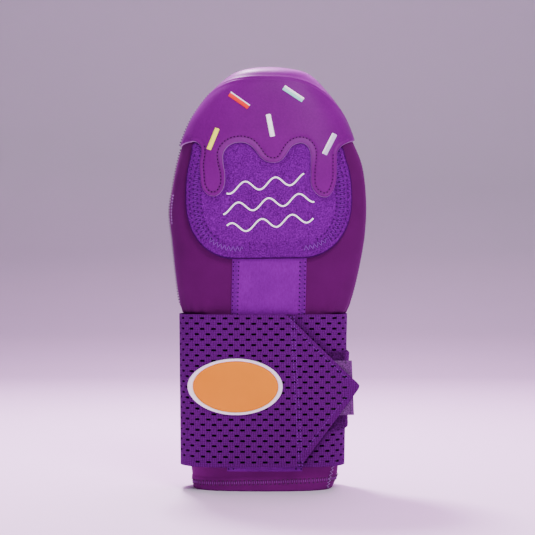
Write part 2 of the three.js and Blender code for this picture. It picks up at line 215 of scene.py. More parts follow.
def read_rows(rows, place):
    """A smooth curve through the rows of a table, read at any row number."""
    place = np.clip(np.asarray(place, float), 0, len(rows) - 1)
    here = np.minimum(place.astype(int), len(rows) - 2)
    t = (place - here)[..., None]
    before, after = rows[np.maximum(here - 1, 0)], rows[here + 1]
    beyond = rows[np.minimum(here + 2, len(rows) - 1)]
    return 0.5 * (
        (2 * t**2 - t**3 - t) * before
        + (3 * t**3 - 5 * t**2 + 2) * rows[here]
        + (4 * t**2 - 3 * t**3 + t) * after
        + (t**3 - t**2) * beyond
    )


def section_point(section, turn):
    """Points of superellipse sections; the turn runs from the right-hand side round by the back."""
    across, deep = np.cos(turn), np.sin(turn)
    power = 2 / np.where(deep > 0, section[..., BACK_SQUARE], section[..., FRONT_SQUARE])
    x = np.sign(across) * np.abs(across) ** power
    y = np.sign(deep) * np.abs(deep) ** power
    x = x * np.where(across > 0, section[..., RIGHT], section[..., LEFT])
    y = y * np.where(deep > 0, section[..., BACK], section[..., FRONT])
    return np.stack([x, y, section[..., Z] + 0 * x], axis=-1)


def unit(vectors):
    """The vectors at length 1."""
    return vectors / np.maximum(np.linalg.norm(vectors, axis=-1, keepdims=True), 1e-12)


def body_surface(turn, level):
    """Points of the body's outer surface, and which way it faces there."""
    turn, level = np.broadcast_arrays(np.asarray(turn, float), np.asarray(level, float))
    section = read_rows(BODY, level)
    around = section_point(section, turn + STEP_TURN) - section_point(section, turn - STEP_TURN)
    upward = section_point(read_rows(BODY, level + STEP_LEVEL), turn)
    upward = upward - section_point(read_rows(BODY, level - STEP_LEVEL), turn)
    return section_point(section, turn), unit(np.cross(around, upward))


def body_point(turn, level, outward):
    """Points that stand that far off the body."""
    point, facing = body_surface(turn, level)
    return point + facing * np.asarray(outward)[..., None]


FINE_LEVELS = np.linspace(0, TOP_LEVEL, 2400)
FINE_HEIGHTS = read_rows(BODY, FINE_LEVELS)[:, Z]


def level_at(height):
    """Where the body reaches a height, counted in rows of its table."""
    return np.interp(height, FINE_HEIGHTS, FINE_LEVELS)


def front_place(flat):
    """The turn and level of places drawn on the front view, as (across, height)."""
    level = level_at(flat[..., 1])
    power = read_rows(BODY, level)[..., FRONT_SQUARE] / 2
    return -np.arccos(np.sign(flat[..., 0]) * np.clip(share_across(flat), 0, 1) ** power), level


def share_across(flat):
    """How far places on the front view are from the middle, as a share of the body's half width there."""
    section = read_rows(BODY, level_at(flat[..., 1]))
    return np.abs(flat[..., 0]) / np.where(flat[..., 0] > 0, section[..., RIGHT], section[..., LEFT])


def strap_section(height):
    """The strap's section at a height."""
    share = (np.asarray(height, float) - STRAP_LOW) / (STRAP_HIGH - STRAP_LOW)
    return STRAP[0] + share[..., None] * (STRAP[1] - STRAP[0])


def strap_ring(turn, height, outward):
    """Points of the strap's ring; outward is measured level, from the inner face of the first turn."""
    section = strap_section(height)
    heading = unit(section_point(section, turn + STEP_TURN) - section_point(section, turn - STEP_TURN))
    facing = np.stack([heading[..., 1], -heading[..., 0], 0 * heading[..., 0]], axis=-1)
    return section_point(section, turn) + facing * np.asarray(outward)[..., None]


def smooth(low, high, values):
    """0 up to the low value, 1 from the high one on, and a soft step between; high may be the smaller."""
    share = np.clip((np.asarray(values, float) - low) / (high - low), 0, 1)
    return share * share * (3 - 2 * share)


def ridge(values, middle, wide):
    """1 where the values are in the middle of a soft ridge, fading to 0 on both sides."""
    return np.exp(-(((values - middle) / wide) ** 2))


def rounded(edge, radius):
    """0 at an edge, 1 from the radius on, and a quarter circle between."""
    return np.sqrt(np.clip(1 - (1 - np.minimum(edge / radius, 1)) ** 2, 0, 1))


def crowded(count, strength):
    """Even shares from 0 to 1 that crowd towards both ends."""
    share = np.linspace(0, 1, count)
    return share - strength * np.sin(2 * np.pi * share) / (2 * np.pi)


def strap_rise(turn):
    """How far the first turn under the strap holds it off."""
    return STRAP_LAYER * smooth(STRAP_RISE, STRAP_RISEN, turn)


def running_length(points):
    """The length of a line from its start to each of its points."""
    return np.concatenate([[0], np.cumsum(np.linalg.norm(np.diff(points, axis=0), axis=1))])


def ring_turns():
    """Turns along the strap, closer together where the flat sides make a small turn a long way."""
    near = np.linspace(0, 1, 120) ** 4 * 0.6
    quarters = np.radians((-90, 0, 90, 180, 270))
    turns = np.concatenate([quarter + side * near for quarter in quarters for side in (-1, 1)])
    turns = np.concatenate([turns, np.linspace(STRAP_START, STRAP_LEAVE, 500)])
    return np.unique(np.clip(turns, STRAP_START, STRAP_LEAVE))


RING_TURNS = ring_turns()
RING_MIDDLE = strap_ring(RING_TURNS, np.full(len(RING_TURNS), STRAP_MIDDLE), strap_rise(RING_TURNS))
RING_LENGTHS = running_length(RING_MIDDLE)
RING_LENGTH = RING_LENGTHS[-1]


def on_strap(flat, outward):
    """Places drawn on the strap laid flat, as (along, height); along is 0 in the middle of the front."""
    along, height = flat[..., 0], flat[..., 1]
    turn = np.interp(along + RING_LENGTH, RING_LENGTHS, RING_TURNS)
    past = np.maximum(along, 0)
    drop = BEND_SLOPE * np.maximum(past - BEND_FROM, 0)
    points = strap_ring(turn, height, strap_rise(turn) + outward - drop)
    points[..., 0] += past
    return points


# Flat outlines and their triangles


def trace_edge(turns, roundness, spacing):
    """Even points of a smooth edge whose handles run the way that each turning point says."""
    share = np.linspace(0, 1, 60)[:-1, None]
    parts = []
    for (x0, z0, runs0), (x1, z1, runs1) in zip(turns, turns[1:]):
        start, end = np.array([x0, z0]), np.array([x1, z1])
        span = roundness * (end - start)
        out_of = start + span * HANDLES[runs0]
        into = end - span * HANDLES[runs1]
        parts.append(
            (1 - share) ** 3 * start + 3 * (1 - share) ** 2 * share * out_of
            + 3 * (1 - share) * share**2 * into + share**3 * end
        )
    return even(np.concatenate(parts + [[turns[-1][:2]]]).astype(float), spacing)


def even(points, spacing):
    """The line again with points about that far apart."""
    along = running_length(points)
    count = max(2, round(along[-1] / spacing) + 1)
    at = np.linspace(0, along[-1], count)
    return np.stack([np.interp(at, along, points[:, k]) for k in range(points.shape[1])], axis=1)


def inside(points, loop):
    """Which points lie inside a closed loop."""
    x, y = points[:, :1], points[:, 1:]
    x0, y0 = loop.T
    x1, y1 = np.roll(loop, -1, axis=0).T
    with np.errstate(divide="ignore", invalid="ignore"):
        crossing = ((y0 > y) != (y1 > y)) & (x < (x1 - x0) * (y - y0) / (y1 - y0) + x0)
    return crossing.sum(axis=1) % 2 == 1


def search_tree(samples):
    """A tree for finding the nearest of flat or solid points."""
    tree = kdtree.KDTree(len(samples))
    for number, sample in enumerate(samples):
        tree.insert((*sample, 0)[:3], number)
    tree.balance()
    return tree


def nearest(points, samples):
    """How far each point is from the samples, and the number of the nearest one."""
    tree = search_tree(samples)
    found = [tree.find((*point, 0)[:3]) for point in points]
    return np.array([f[2] for f in found]), np.array([f[1] for f in found])


def inset_rows(loop, depths, closed=True):
    """Rows of points inside a loop that runs anticlockwise, each at its own distance or distances from it."""
    ahead = np.roll(loop, -1, axis=0) - np.roll(loop, 1, axis=0)
    if not closed:
        ahead[0], ahead[-1] = loop[1] - loop[0], loop[-1] - loop[-2]
    inward = unit(np.stack([-ahead[:, 1], ahead[:, 0]], axis=1))
    rows = []
    for depth in depths:
        depth = np.broadcast_to(depth, len(loop))
        row = loop + inward * depth[:, None]
        far, _ = nearest(row, loop)
        # A point that comes nearer to another part of the loop is dropped
        rows.append(row[far > 0.93 * depth])
    return rows


def fill_grid(loop, taken, spacing):
    """Staggered points inside a loop that keep their distance from points already there."""
    low, high = loop.min(axis=0), loop.max(axis=0)
    rows = []
    for number, height in enumerate(np.arange(low[1], high[1], spacing * 0.87)):
        across = np.arange(low[0] + spacing / 2 * (number % 2), high[0], spacing)
        rows.append(np.stack([across, np.full(len(across), height)], axis=1))
    grid = np.concatenate(rows)
    grid = grid[inside(grid, loop)]
    far, _ = nearest(grid, taken)
    return grid[far > 0.75 * spacing]


def inside_only(loop):
    """A test that keeps the triangles inside a loop."""

    def keep(middles):
        return inside(middles, loop)

    return keep


def triangulate(points, loops, keep):
    """Triangles over flat points whose edges hold the loops; keep says which middles stay."""
    edges = []
    for first, count in loops:
        edges += [(first + k, first + (k + 1) % count) for k in range(count)]
    found = geometry.delaunay_2d_cdt([Vector(p) for p in points], edges, [], 0, 1e-7)
    flat = np.array([v[:] for v in found[0]])
    triangles = np.array([f for f in found[2] if len(f) == 3])
    middles = flat[triangles].mean(axis=1)
    return flat, triangles[keep(middles)]


def thick_sheet(top, bottom, triangles):
    """Points and faces of a closed sheet between two layers with the same triangles."""
    count = len(top)
    directed = np.concatenate([triangles[:, [0, 1]], triangles[:, [1, 2]], triangles[:, [2, 0]]])
    codes = directed[:, 0].astype(np.int64) * count + directed[:, 1]
    back = directed[:, 1].astype(np.int64) * count + directed[:, 0]
    rim = directed[~np.isin(codes, back)]
    walls = np.stack([rim[:, 0], rim[:, 0] + count, rim[:, 1] + count, rim[:, 1]], axis=1)
    faces = triangles.tolist() + (triangles[:, ::-1] + count).tolist() + walls.tolist()
    return np.concatenate([top, bottom]), faces


# Meshes


def shift():
    """How far the frame's origin is from the middle of the seams' plane, in millimetres."""
    high = np.array(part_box("palm_panel")[1]) / MM
    return np.array([high[0] - BODY_RIGHT_MOST, high[1] - BODY_BACK_MOST, 0])


def place_object(name, data):
    """A new object in the scene."""
    placed = bpy.data.objects.new(name, data)
    bpy.context.scene.collection.objects.link(placed)
    return placed


def make_piece(name, points, faces, material, replaced=(), sharp=48, values=None):
    """A smooth mesh piece that rides on the mitt; its unused points are dropped."""
    used = np.unique(np.concatenate([np.asarray(f) for f in faces]))
    number = np.full(len(points), -1)
    number[used] = np.arange(len(used))
    mesh = bpy.data.meshes.new(name)
    mesh.from_pydata(((points[used] + shift()) * MM).tolist(), [], [number[list(f)].tolist() for f in faces])
    mesh.validate()
    mesh.shade_smooth()
    mesh.set_sharp_from_angle(angle=np.radians(sharp))
    for key, column in (values or {}).items():
        mesh.attributes.new(key, "FLOAT", "POINT").data.foreach_set("value", column[used].astype(np.float32))
    mesh.materials.append(material)
    piece = place_object(name, mesh)
    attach(piece, "root")
    if replaced:
        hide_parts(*replaced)
    return piece


def close_shell(outer, inner, corners, rims):
    """Points and faces of a closed shell: two layers with the same corners, and walls along their rims."""
    count = outer[..., 0].size
    faces = np.stack(corners, axis=1).tolist() + (np.stack(corners[::-1], axis=1) + count).tolist()
    for rim, following in rims:
        faces += np.stack([rim, rim + count, following + count, following], axis=1).tolist()
    return np.concatenate([outer.reshape(-1, 3), inner.reshape(-1, 3)]), faces


def grid_shell(outer, inner):
    """A closed shell between two grids of points with the same rows and columns."""
    number = np.arange(outer[..., 0].size).reshape(outer.shape[:2])
    parts = (number[:-1, :-1], number[:-1, 1:], number[1:, 1:], number[1:, :-1])
    rim = np.concatenate([number[0], number[1:, -1], number[-1, -2::-1], number[-2:0:-1, 0]])
    return close_shell(outer, inner, [part.ravel() for part in parts], [(rim, np.roll(rim, -1))])


def ring_shell(outer, inner):
    """The same for grids whose columns close on themselves."""
    number = np.arange(outer[..., 0].size).reshape(outer.shape[:2])
    following = np.roll(number, -1, axis=1)
    parts = (number[:-1], following[:-1], following[1:], number[1:])
    rims = [(number[0], following[0]), (following[-1], number[-1])]
    return close_shell(outer, inner, [part.ravel() for part in parts], rims)


def cloudy(points, size, seed=0):
    """Soft noise from -1 to 1 at points, its lumps about that size."""
    offset = Vector((seed * 17.0, seed * 5.0, 0))
    lumps = [noise.noise(Vector(place) / size + offset) for place in points.reshape(-1, 3)]
    return np.array(lumps).reshape(points.shape[:-1])


def one_layer(values):
    """Values of a sheet's outer layer, with nothing on the layer behind it."""
    return np.concatenate([values.ravel(), np.zeros(values.size)])


# Nodes


def add(tree, kind, settings=None, feeds=None):
    """Adds a node, sets its properties, and gives each input a value or a link."""
    made = tree.nodes.new(kind)
    for key, value in (settings or {}).items():
        setattr(made, key, value)
    for key, value in (feeds or {}).items():
        if isinstance(value, bpy.types.NodeSocket):
            tree.links.new(value, made.inputs[key])
        else:
            made.inputs[key].default_value = value
    return made


def start_material(name, **shader_values):
    """A material with one Principled shader, and its tree and shader."""
    material = bpy.data.materials.new(name)
    material.use_nodes = True
    tree = material.node_tree
    shader = tree.nodes["Principled BSDF"]
    for key, value in shader_values.items():
        shader.inputs[key.replace("_", " ")].default_value = value
    return material, tree, shader


def object_place(tree):
    """Where a point of the surface is, in metres."""
    return add(tree, "ShaderNodeTexCoord").outputs["Object"]


def grain(tree, where, size, detail=2.0, roughness=0.5):
    """Noise from 0 to 1 whose lumps are about that size in millimetres."""
    feeds = {"Vector": where, "Scale": 1 / (size * MM), "Detail": detail, "Roughness": roughness}
    return add(tree, "ShaderNodeTexNoise", feeds=feeds).outputs["Fac"]


def blend(tree, share, first, second):
    """That share of the second value, and the rest of the first."""
    return add(tree, "ShaderNodeMix", {"data_type": "FLOAT"}, {0: share, 2: first, 3: second}).outputs[0]


def remap(tree, value, low, high, to_low=0.0, to_high=1.0, shape="LINEAR"):
    """A value carried from one range over to another."""
    feeds = {"Value": value, "From Min": low, "From Max": high, "To Min": to_low, "To Max": to_high}
    return add(tree, "ShaderNodeMapRange", {"interpolation_type": shape}, feeds).outputs[0]


def maths(tree, operation, first, second=0.5):
    """One step of arithmetic on one or two values."""
    return add(tree, "ShaderNodeMath", {"operation": operation}, {0: first, 1: second}).outputs[0]


def stored(tree, name):
    """A value that the mesh keeps for each of its points."""
    return add(tree, "ShaderNodeAttribute", {"attribute_name": name}).outputs["Fac"]


def mottled(tree, shader, tint, pattern, darker, lighter):
    """Colours the shader by a 0 to 1 pattern, from a darker to a lighter share of the tint."""
    ramp = add(tree, "ShaderNodeValToRGB", feeds={"Fac": pattern})
    ramp.color_ramp.elements[0].color = (*[c * darker for c in tint], 1)
    ramp.color_ramp.elements[1].color = (*[min(1, c * lighter) for c in tint], 1)
    tree.links.new(ramp.outputs["Color"], shader.inputs["Base Color"])
    return ramp.outputs["Color"]


def painted_over(tree, shader, below, above, share):
    """Colours the shader by one colour over another."""
    mixed = add(tree, "ShaderNodeMix", {"data_type": "RGBA"}, {0: share, 6: below, 7: (*above, 1)})
    tree.links.new(mixed.outputs[2], shader.inputs["Base Color"])


def bumped(tree, shader, pattern, depth, strength):
    """Relief from a 0 to 1 pattern, as deep as that in millimetres."""
    feeds = {"Height": pattern, "Distance": depth * MM, "Strength": strength}
    bump = add(tree, "ShaderNodeBump", feeds=feeds)
    tree.links.new(bump.outputs["Normal"], shader.inputs["Normal"])


def matted(tree, shader, below, tint):
    """Paints shade into cloth by its attribute: under and just beside other cloth, and inside a slot."""
    painted_over(tree, shader, below, [c * 0.04 for c in tint], stored(tree, "covered"))


def foam_backed_knit(name, tint):
    """Foam-backed knit: a close matte cloth with a soft bloom at the edges and a fine even grain."""
    material, tree, shader = start_material(
        name, Roughness=0.85, Sheen_Weight=0.08, Sheen_Roughness=0.4, Sheen_Tint=(0.6, 0.12, 0.65, 1),
        Specular_IOR_Level=0.06)
    where = object_place(tree)
    # Lumps of worn nap 20 mm across, and the knit's grain at 0.6 mm
    nap = grain(tree, where, 20, 4)
    knit = grain(tree, where, 0.6)
    cloth = mottled(tree, shader, tint, blend(tree, 0.35, nap, knit), 0.72, 1.32)
    # Painted shade from the attribute, under the strap and as a painted shadow just below it
    matted(tree, shader, cloth, tint)
    bumped(tree, shader, knit, 0.12, 0.5)
    return material


def coated_leather(name, tint, edge_tint):
    """Coated leather: a smooth skin with a pebbled grain, a soft gloss, and a paler backing at the cut."""
    material, tree, shader = start_material(
        name, Roughness=0.42, Specular_IOR_Level=0.12, Specular_Tint=(0.95, 0.55, 1.0, 1))
    where = object_place(tree)
    # Pebbles 0.9 mm across under a film that clouds over 30 mm, and pores drawn 1.3 mm apart so that they
    # show
    pebbles = add(tree, "ShaderNodeTexVoronoi", {"feature": "SMOOTH_F1"},
                  {"Vector": where, "Scale": 1 / (0.9 * MM), "Smoothness": 0.6})
    film = grain(tree, where, 30, 3)
    pores = grain(tree, where, 1.3, 4, 0.65)
    skin = mottled(tree, shader, tint, blend(tree, 0.45, film, pores), 0.55, 1.4)
    # The margin over the arches, where the leather puckers, is painted a little paler as painted highlight,
    # and the paler backing at the cut more so, over its last 0.4 mm
    pucker_highlight = remap(tree, stored(tree, "puckered"), 0, 1, to_high=0.055)
    cut = remap(tree, stored(tree, "edge_mm"), 0.36, 0.12, to_high=0.5, shape="SMOOTHSTEP")
    painted_over(tree, shader, skin, edge_tint, maths(tree, "MAXIMUM", pucker_highlight, cut))
    bumped(tree, shader, pebbles.outputs["Distance"], 0.1, 0.35)
    tree.links.new(remap(tree, film, 0, 1, 0.34, 0.5), shader.inputs["Roughness"])
    return material


def plush_pile(name, tint, fleck=0.8, sheen=0.12, sewn=False):
    """Short pile: matte, flecked where the nap leans, with a bright bloom at grazing angles."""
    material, tree, shader = start_material(
        name, Roughness=0.92, Sheen_Weight=sheen, Sheen_Roughness=0.35, Sheen_Tint=(0.55, 0.05, 0.75, 1),
        Specular_IOR_Level=0.0)
    where = object_place(tree)
    # Tufts about 1 mm across, drawn coarser than the real 0.3 mm nap so that they show, and patches brushed
    # another way, of 7 mm
    tufts = grain(tree, where, fleck, 5, 0.7)
    brushed = grain(tree, where, 7, 3)
    flecks = remap(tree, tufts, 0.38, 0.62)
    pile = mottled(tree, shader, tint, blend(tree, 0.8, brushed, flecks), 0.3, 1.75)
    bumped(tree, shader, tufts, 0.5, 0.8)
    if sewn:
        # The pile is flattened and darker where the zigzag holds it down, and painted shade darkens it most
        # at the rolled edge
        edge = stored(tree, "edge_mm")
        band = remap(tree, edge, 11.0, 9.0, to_high=0.16, shape="SMOOTHSTEP")
        rim = remap(tree, edge, 1.7, 0.6, to_high=0.9, shape="SMOOTHSTEP")
        painted_over(tree, shader, pile, [c * 0.2 for c in tint], maths(tree, "MAXIMUM", band, rim))
    return material


def brushed_loop(name, tint):
    """Brushed loop cloth: a smooth satin face with faint upright ribs and a soft cross sheen."""
    material, tree, shader = start_material(
        name, Roughness=0.7, Sheen_Weight=0.04, Sheen_Roughness=0.3, Sheen_Tint=(0.6, 0.08, 0.8, 1),
        Specular_IOR_Level=0.03)
    where = object_place(tree)
    stretched = add(tree, "ShaderNodeMapping", feeds={"Vector": where, "Scale": (1, 1, 0.4)})
    # Filaments 0.8 mm wide that run up the strip, over clouds of 12 mm
    ribs = grain(tree, stretched.outputs[0], 0.8, 4, 0.7)
    mottled(tree, shader, tint, blend(tree, 0.65, grain(tree, where, 12, 4), ribs), 0.35, 1.7)
    bumped(tree, shader, ribs, 0.15, 0.4)
    return material


def knit_rows(tree, laid, direction, spacing, distortion):
    """Soft waves across a cloth laid flat, that far apart in millimetres."""
    # At a scale of 1 the wave texture repeats every pi / 10
    scale = np.pi / 10 / (spacing * MM)
    feeds = {"Vector": laid, "Scale": scale, "Distortion": distortion, "Detail": 3.0}
    return add(tree, "ShaderNodeTexWave", {"bands_direction": direction}, feeds).outputs["Fac"]


def elastic_knit(name, tint):
    """Perforated elastic: matte warp-knit columns, with painted shade inside the slots and where the flap
    covers the first turn.
    """
    material, tree, shader = start_material(
        name, Roughness=0.85, Sheen_Weight=0.06, Sheen_Roughness=0.4,
        Sheen_Tint=(0.5, 0.1, 0.65, 1), Specular_IOR_Level=0.05)
    laid = add(tree, "ShaderNodeUVMap", {"uv_map": "laid_flat"}).outputs[0]
    # The map is in metres of band: columns every 1.4 mm, drawn wider than the real 0.8 mm, courses every
    # 1.07 mm, and yarn of 0.7 mm
    columns = knit_rows(tree, laid, "X", 1.4, 5.0)
    courses = knit_rows(tree, laid, "Y", 1.07, 4.0)
    yarn = grain(tree, laid, 0.7, 3)
    knit = blend(tree, 0.5, blend(tree, 0.45, columns, courses), yarn)
    # Painted shade from the attribute, on the slots' walls and on the first turn under the flap
    matted(tree, shader, mottled(tree, shader, tint, knit, 0.2, 1.8), tint)
    bumped(tree, shader, knit, 0.18, 0.5)
    return material


def spun_thread(name, tint, rough=0.45, glow=0.0):
    """Twisted filament thread: fine strands, and, where asked, painted light that the thread emits itself."""
    material, tree, shader = start_material(
        name, Roughness=rough, Specular_IOR_Level=0.8 - 0.8 * rough, Emission_Color=(*tint, 1),
        Emission_Strength=glow)
    # Strands of 0.25 mm
    strands = grain(tree, object_place(tree), 0.25)
    mottled(tree, shader, tint, strands, 0.8, 1.15)
    bumped(tree, shader, strands, 0.05, 0.4)
    return material


def moulded_rubber(name, tint):
    """Moulded silicone rubber: even colour, a satin skin and the faintest orange peel from its mould."""
    material, tree, shader = start_material(name, Roughness=0.5, Specular_IOR_Level=0.2)
    where = object_place(tree)
    # Mould texture of 0.7 mm, and colour that drifts over 15 mm
    mottled(tree, shader, tint, grain(tree, where, 15), 0.93, 1.05)
    bumped(tree, shader, grain(tree, where, 0.7), 0.05, 0.3)
    return material


def moulded_nylon(name, tint):
    """Hook tape: translucent nylon, greyed by its crowd of hooks, with a low gloss."""
    material, tree, shader = start_material(
        name, Roughness=0.6, Specular_IOR_Level=0.2, Transmission_Weight=0.1)
    where = object_place(tree)
    # Hook feet 1.2 mm apart cloud the sheet
    feet = add(tree, "ShaderNodeTexVoronoi",
               feeds={"Vector": where, "Scale": 1 / (1.2 * MM), "Randomness": 0.35}).outputs["Distance"]
    glints = remap(tree, grain(tree, where, 0.8, 3), 0.38, 0.62)
    nylon = mottled(tree, shader, tint, blend(tree, 0.7, feet, glints), 0.35, 1.75)
    # Painted shade from the attribute, where the pointed end covers the tape
    matted(tree, shader, nylon, tint)
    bumped(tree, shader, feet, 0.2, 0.5)
    return material


def settings():
    """The sizes and colours that a user can change."""
    return bpy.context.scene.mitt_sizes, bpy.context.scene.mitt_colours


def shared(make, name, *inputs, **choices):
    """The material of that name, made the first time it is asked for."""
    return bpy.data.materials.get(name) or make(name, *inputs, **choices)


def satin_thread(name):
    """The glossy embroidery thread in one of the named colours, which emits a little painted light of its
    own.
    """
    full_name = "satin_thread_" + name
    return shared(spun_thread, full_name, getattr(settings()[1], name), rough=0.5, glow=0.55)


# Sewing threads, and dark beads of painted shade for needle holes: colour and roughness
THREADS = {
    "seam_thread": ("2c0a34", 0.6), "pale_seam_thread": ("a070b4", 0.6), "hem_thread": ("8a3c98", 0.8),
    "strap_thread": ("76289a", 0.8), "strip_thread": ("6a0388", 0.8), "dark_thread": ("1d0229", 0.8),
    "pale_thread": ("7c0c9e", 0.8), "worn_pale_thread": ("884cae", 0.8), "pile_hole": ("38054c", 0.9),
}


def sewing_thread(name):
    """One of the plain sewing threads."""
    hex_colour, rough = THREADS[name]
    return shared(spun_thread, name, linear(hex_colour), rough)


# Geometry Nodes for stitching


def start_tree(name, sizes):
    """A Geometry Nodes tree that takes a path, sizes in millimetres and a material."""
    tree = bpy.data.node_groups.new(name, "GeometryNodeTree")
    tree.interface.new_socket("Geometry", in_out="INPUT", socket_type="NodeSocketGeometry")
    for size in sizes:
        tree.interface.new_socket(size, in_out="INPUT", socket_type="NodeSocketFloat")
    tree.interface.new_socket("Material", in_out="INPUT", socket_type="NodeSocketMaterial")
    tree.interface.new_socket("Geometry", in_out="OUTPUT", socket_type="NodeSocketGeometry")
    return tree, add(tree, "NodeGroupInput").outputs


def end_tree(tree, shape, material):
    """Ends a tree in plain geometry with its material."""
    real = add(tree, "GeometryNodeRealizeInstances", feeds={"Geometry": shape})
    painted = add(tree, "GeometryNodeSetMaterial", feeds={"Geometry": real.outputs[0], "Material": material})
    add(tree, "NodeGroupOutput", feeds={"Geometry": painted.outputs[0]})


def in_metres(tree, socket, share=1.0):
    """A length in millimetres, or a share of it, in metres."""
    return maths(tree, "MULTIPLY", socket, share * MM)


def facing_and_heading(tree):
    """Which way the surface under a path faces, and which way the path runs."""
    facing = add(tree, "GeometryNodeInputNamedAttribute", {"data_type": "FLOAT_VECTOR"}, {"Name": "facing"})
    return facing.outputs[0], add(tree, "GeometryNodeInputTangent").outputs[0]


def stitch_row_tree():
    """Rounded stitches laid along a path: Along and Across are one stitch's size, Thick its height."""
    tree, given = start_tree("stitch_row", ["Spacing", "Along", "Across", "Thick"])
    curve = add(tree, "GeometryNodeMeshToCurve", feeds={"Mesh": given["Geometry"]})
    spaced = add(tree, "GeometryNodeResampleCurve", {"mode": "LENGTH"},
                 {"Curve": curve.outputs[0], "Length": in_metres(tree, given["Spacing"])})
    facing, heading = facing_and_heading(tree)
    along = add(tree, "FunctionNodeAlignRotationToVector", {"axis": "X"}, {"Vector": heading})
    turned = add(tree, "FunctionNodeAlignRotationToVector", {"axis": "Z", "pivot_axis": "X"},
                 {"Rotation": along.outputs[0], "Vector": facing})
    size = add(tree, "ShaderNodeCombineXYZ", feeds={
        0: in_metres(tree, given["Along"]), 1: in_metres(tree, given["Across"]),
        2: in_metres(tree, given["Thick"])})
    bead = add(tree, "GeometryNodeMeshUVSphere", feeds={"Segments": 8, "Rings": 6, "Radius": 0.5})
    smoothed = add(tree, "GeometryNodeSetShadeSmooth", feeds={"Geometry": bead.outputs[0]})
    laid = add(tree, "GeometryNodeInstanceOnPoints", feeds={
        "Points": spaced.outputs[0], "Instance": smoothed.outputs[0], "Rotation": turned.outputs[0],
        "Scale": size.outputs[0]})
    end_tree(tree, laid.outputs[0], given["Material"])
    return tree


def zigzag_row_tree():
    """One thread that swings across a path: Spacing is half a swing, and Lift how high it stands between."""
    tree, given = start_tree("zigzag_row", ["Spacing", "Across", "Thick", "Lift"])
    curve = add(tree, "GeometryNodeMeshToCurve", feeds={"Mesh": given["Geometry"]})
    spaced = add(tree, "GeometryNodeResampleCurve", {"mode": "LENGTH"},
                 {"Curve": curve.outputs[0], "Length": in_metres(tree, given["Spacing"], 0.5)})
    facing, heading = facing_and_heading(tree)
    aside = add(tree, "ShaderNodeVectorMath", {"operation": "CROSS_PRODUCT"}, {0: facing, 1: heading})
    # Each point is a quarter of a swing on from the last
    quarter = maths(tree, "MULTIPLY", add(tree, "GeometryNodeInputIndex").outputs[0], np.pi / 2)
    reach = maths(tree, "MULTIPLY", maths(tree, "COSINE", quarter), in_metres(tree, given["Across"], 0.5))
    above = maths(tree, "ABSOLUTE", maths(tree, "SINE", quarter))
    height = maths(tree, "MULTIPLY", above, in_metres(tree, given["Lift"]))
    sideways = add(tree, "ShaderNodeVectorMath", {"operation": "SCALE"},
                   {0: aside.outputs[0], "Scale": reach})
    upwards = add(tree, "ShaderNodeVectorMath", {"operation": "SCALE"}, {0: facing, "Scale": height})
    offset = add(tree, "ShaderNodeVectorMath", {"operation": "ADD"},
                 {0: sideways.outputs[0], 1: upwards.outputs[0]})
    swung = add(tree, "GeometryNodeSetPosition",
                feeds={"Geometry": spaced.outputs[0], "Offset": offset.outputs[0]})
    round_section = add(tree, "GeometryNodeCurvePrimitiveCircle",
                        feeds={"Resolution": 6, "Radius": in_metres(tree, given["Thick"], 0.5)})
    thread = add(tree, "GeometryNodeCurveToMesh", feeds={
        "Curve": swung.outputs[0], "Profile Curve": round_section.outputs[0], "Fill Caps": True})
    smoothed = add(tree, "GeometryNodeSetShadeSmooth", feeds={"Geometry": thread.outputs[0]})
    end_tree(tree, smoothed.outputs[0], given["Material"])
    return tree


def sew(name, paths, make_tree, sizes, material, replaced=()):
    """Runs a stitching tree along paths, each a pair of points and facings, and keeps the plain mesh."""
    points = (np.concatenate([p for p, _ in paths]) + shift()) * MM
    edges, first = [], 0
    for line, _ in paths:
        edges += [(first + k, first + k + 1) for k in range(len(line) - 1)]
        first += len(line)
    mesh = bpy.data.meshes.new(name + "_path")
    mesh.from_pydata(points.tolist(), edges, [])
    facings = np.concatenate([f for _, f in paths]).astype(np.float32)
    mesh.attributes.new("facing", "FLOAT_VECTOR", "POINT").data.foreach_set("vector", facings.ravel())
    guide = place_object(name + "_path", mesh)
    name_of_tree = make_tree.__name__.removesuffix("_tree")
    tree = bpy.data.node_groups.get(name_of_tree) or make_tree()
    modifier = guide.modifiers.new("stitching", "NODES")
    modifier.node_group = tree
    known = {item.name: item.identifier for item in tree.interface.items_tree if item.in_out == "INPUT"}
    for key, value in {**sizes, "Material": material}.items():
        modifier[known[key]] = value
    bpy.context.view_layer.update()
    evaluated = guide.evaluated_get(bpy.context.evaluated_depsgraph_get())
    sewn = bpy.data.meshes.new_from_object(evaluated)
    sewn.name = name
    bpy.data.objects.remove(guide)
    piece = place_object(name, sewn)
    if not sewn.materials:
        sewn.materials.append(material)
    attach(piece, "root")
    if replaced:
        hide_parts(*replaced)
    return piece


def sew_stitches(name, paths, size, material, replaced=()):
    """Rows of stitches; size is their spacing, then the length, width and height of one."""
    sizes = dict(zip(("Spacing", "Along", "Across", "Thick"), size))
    return sew(name, paths, stitch_row_tree, sizes, material, replaced)


def sew_zigzag(name, paths, size, material):
    """Zigzags; size is half a swing's spacing, the swing's width, the thread and how high it lifts."""
    sizes = dict(zip(("Spacing", "Across", "Thick", "Lift"), size))
    return sew(name, paths, zigzag_row_tree, sizes, material)


def surface_path(flat, outward, spacing=0.8):
    """A path on the front of the body: its points and facings, from places on the front view.

    Outward is the height over the body, or a function that gives it for places on the front view.
    """
    flat = even(np.asarray(flat, float), spacing)
    turn, level = front_place(flat)
    point, facing = body_surface(turn, level)
    height = outward(flat) if callable(outward) else outward
    return point + facing * np.broadcast_to(height, len(flat))[:, None], facing


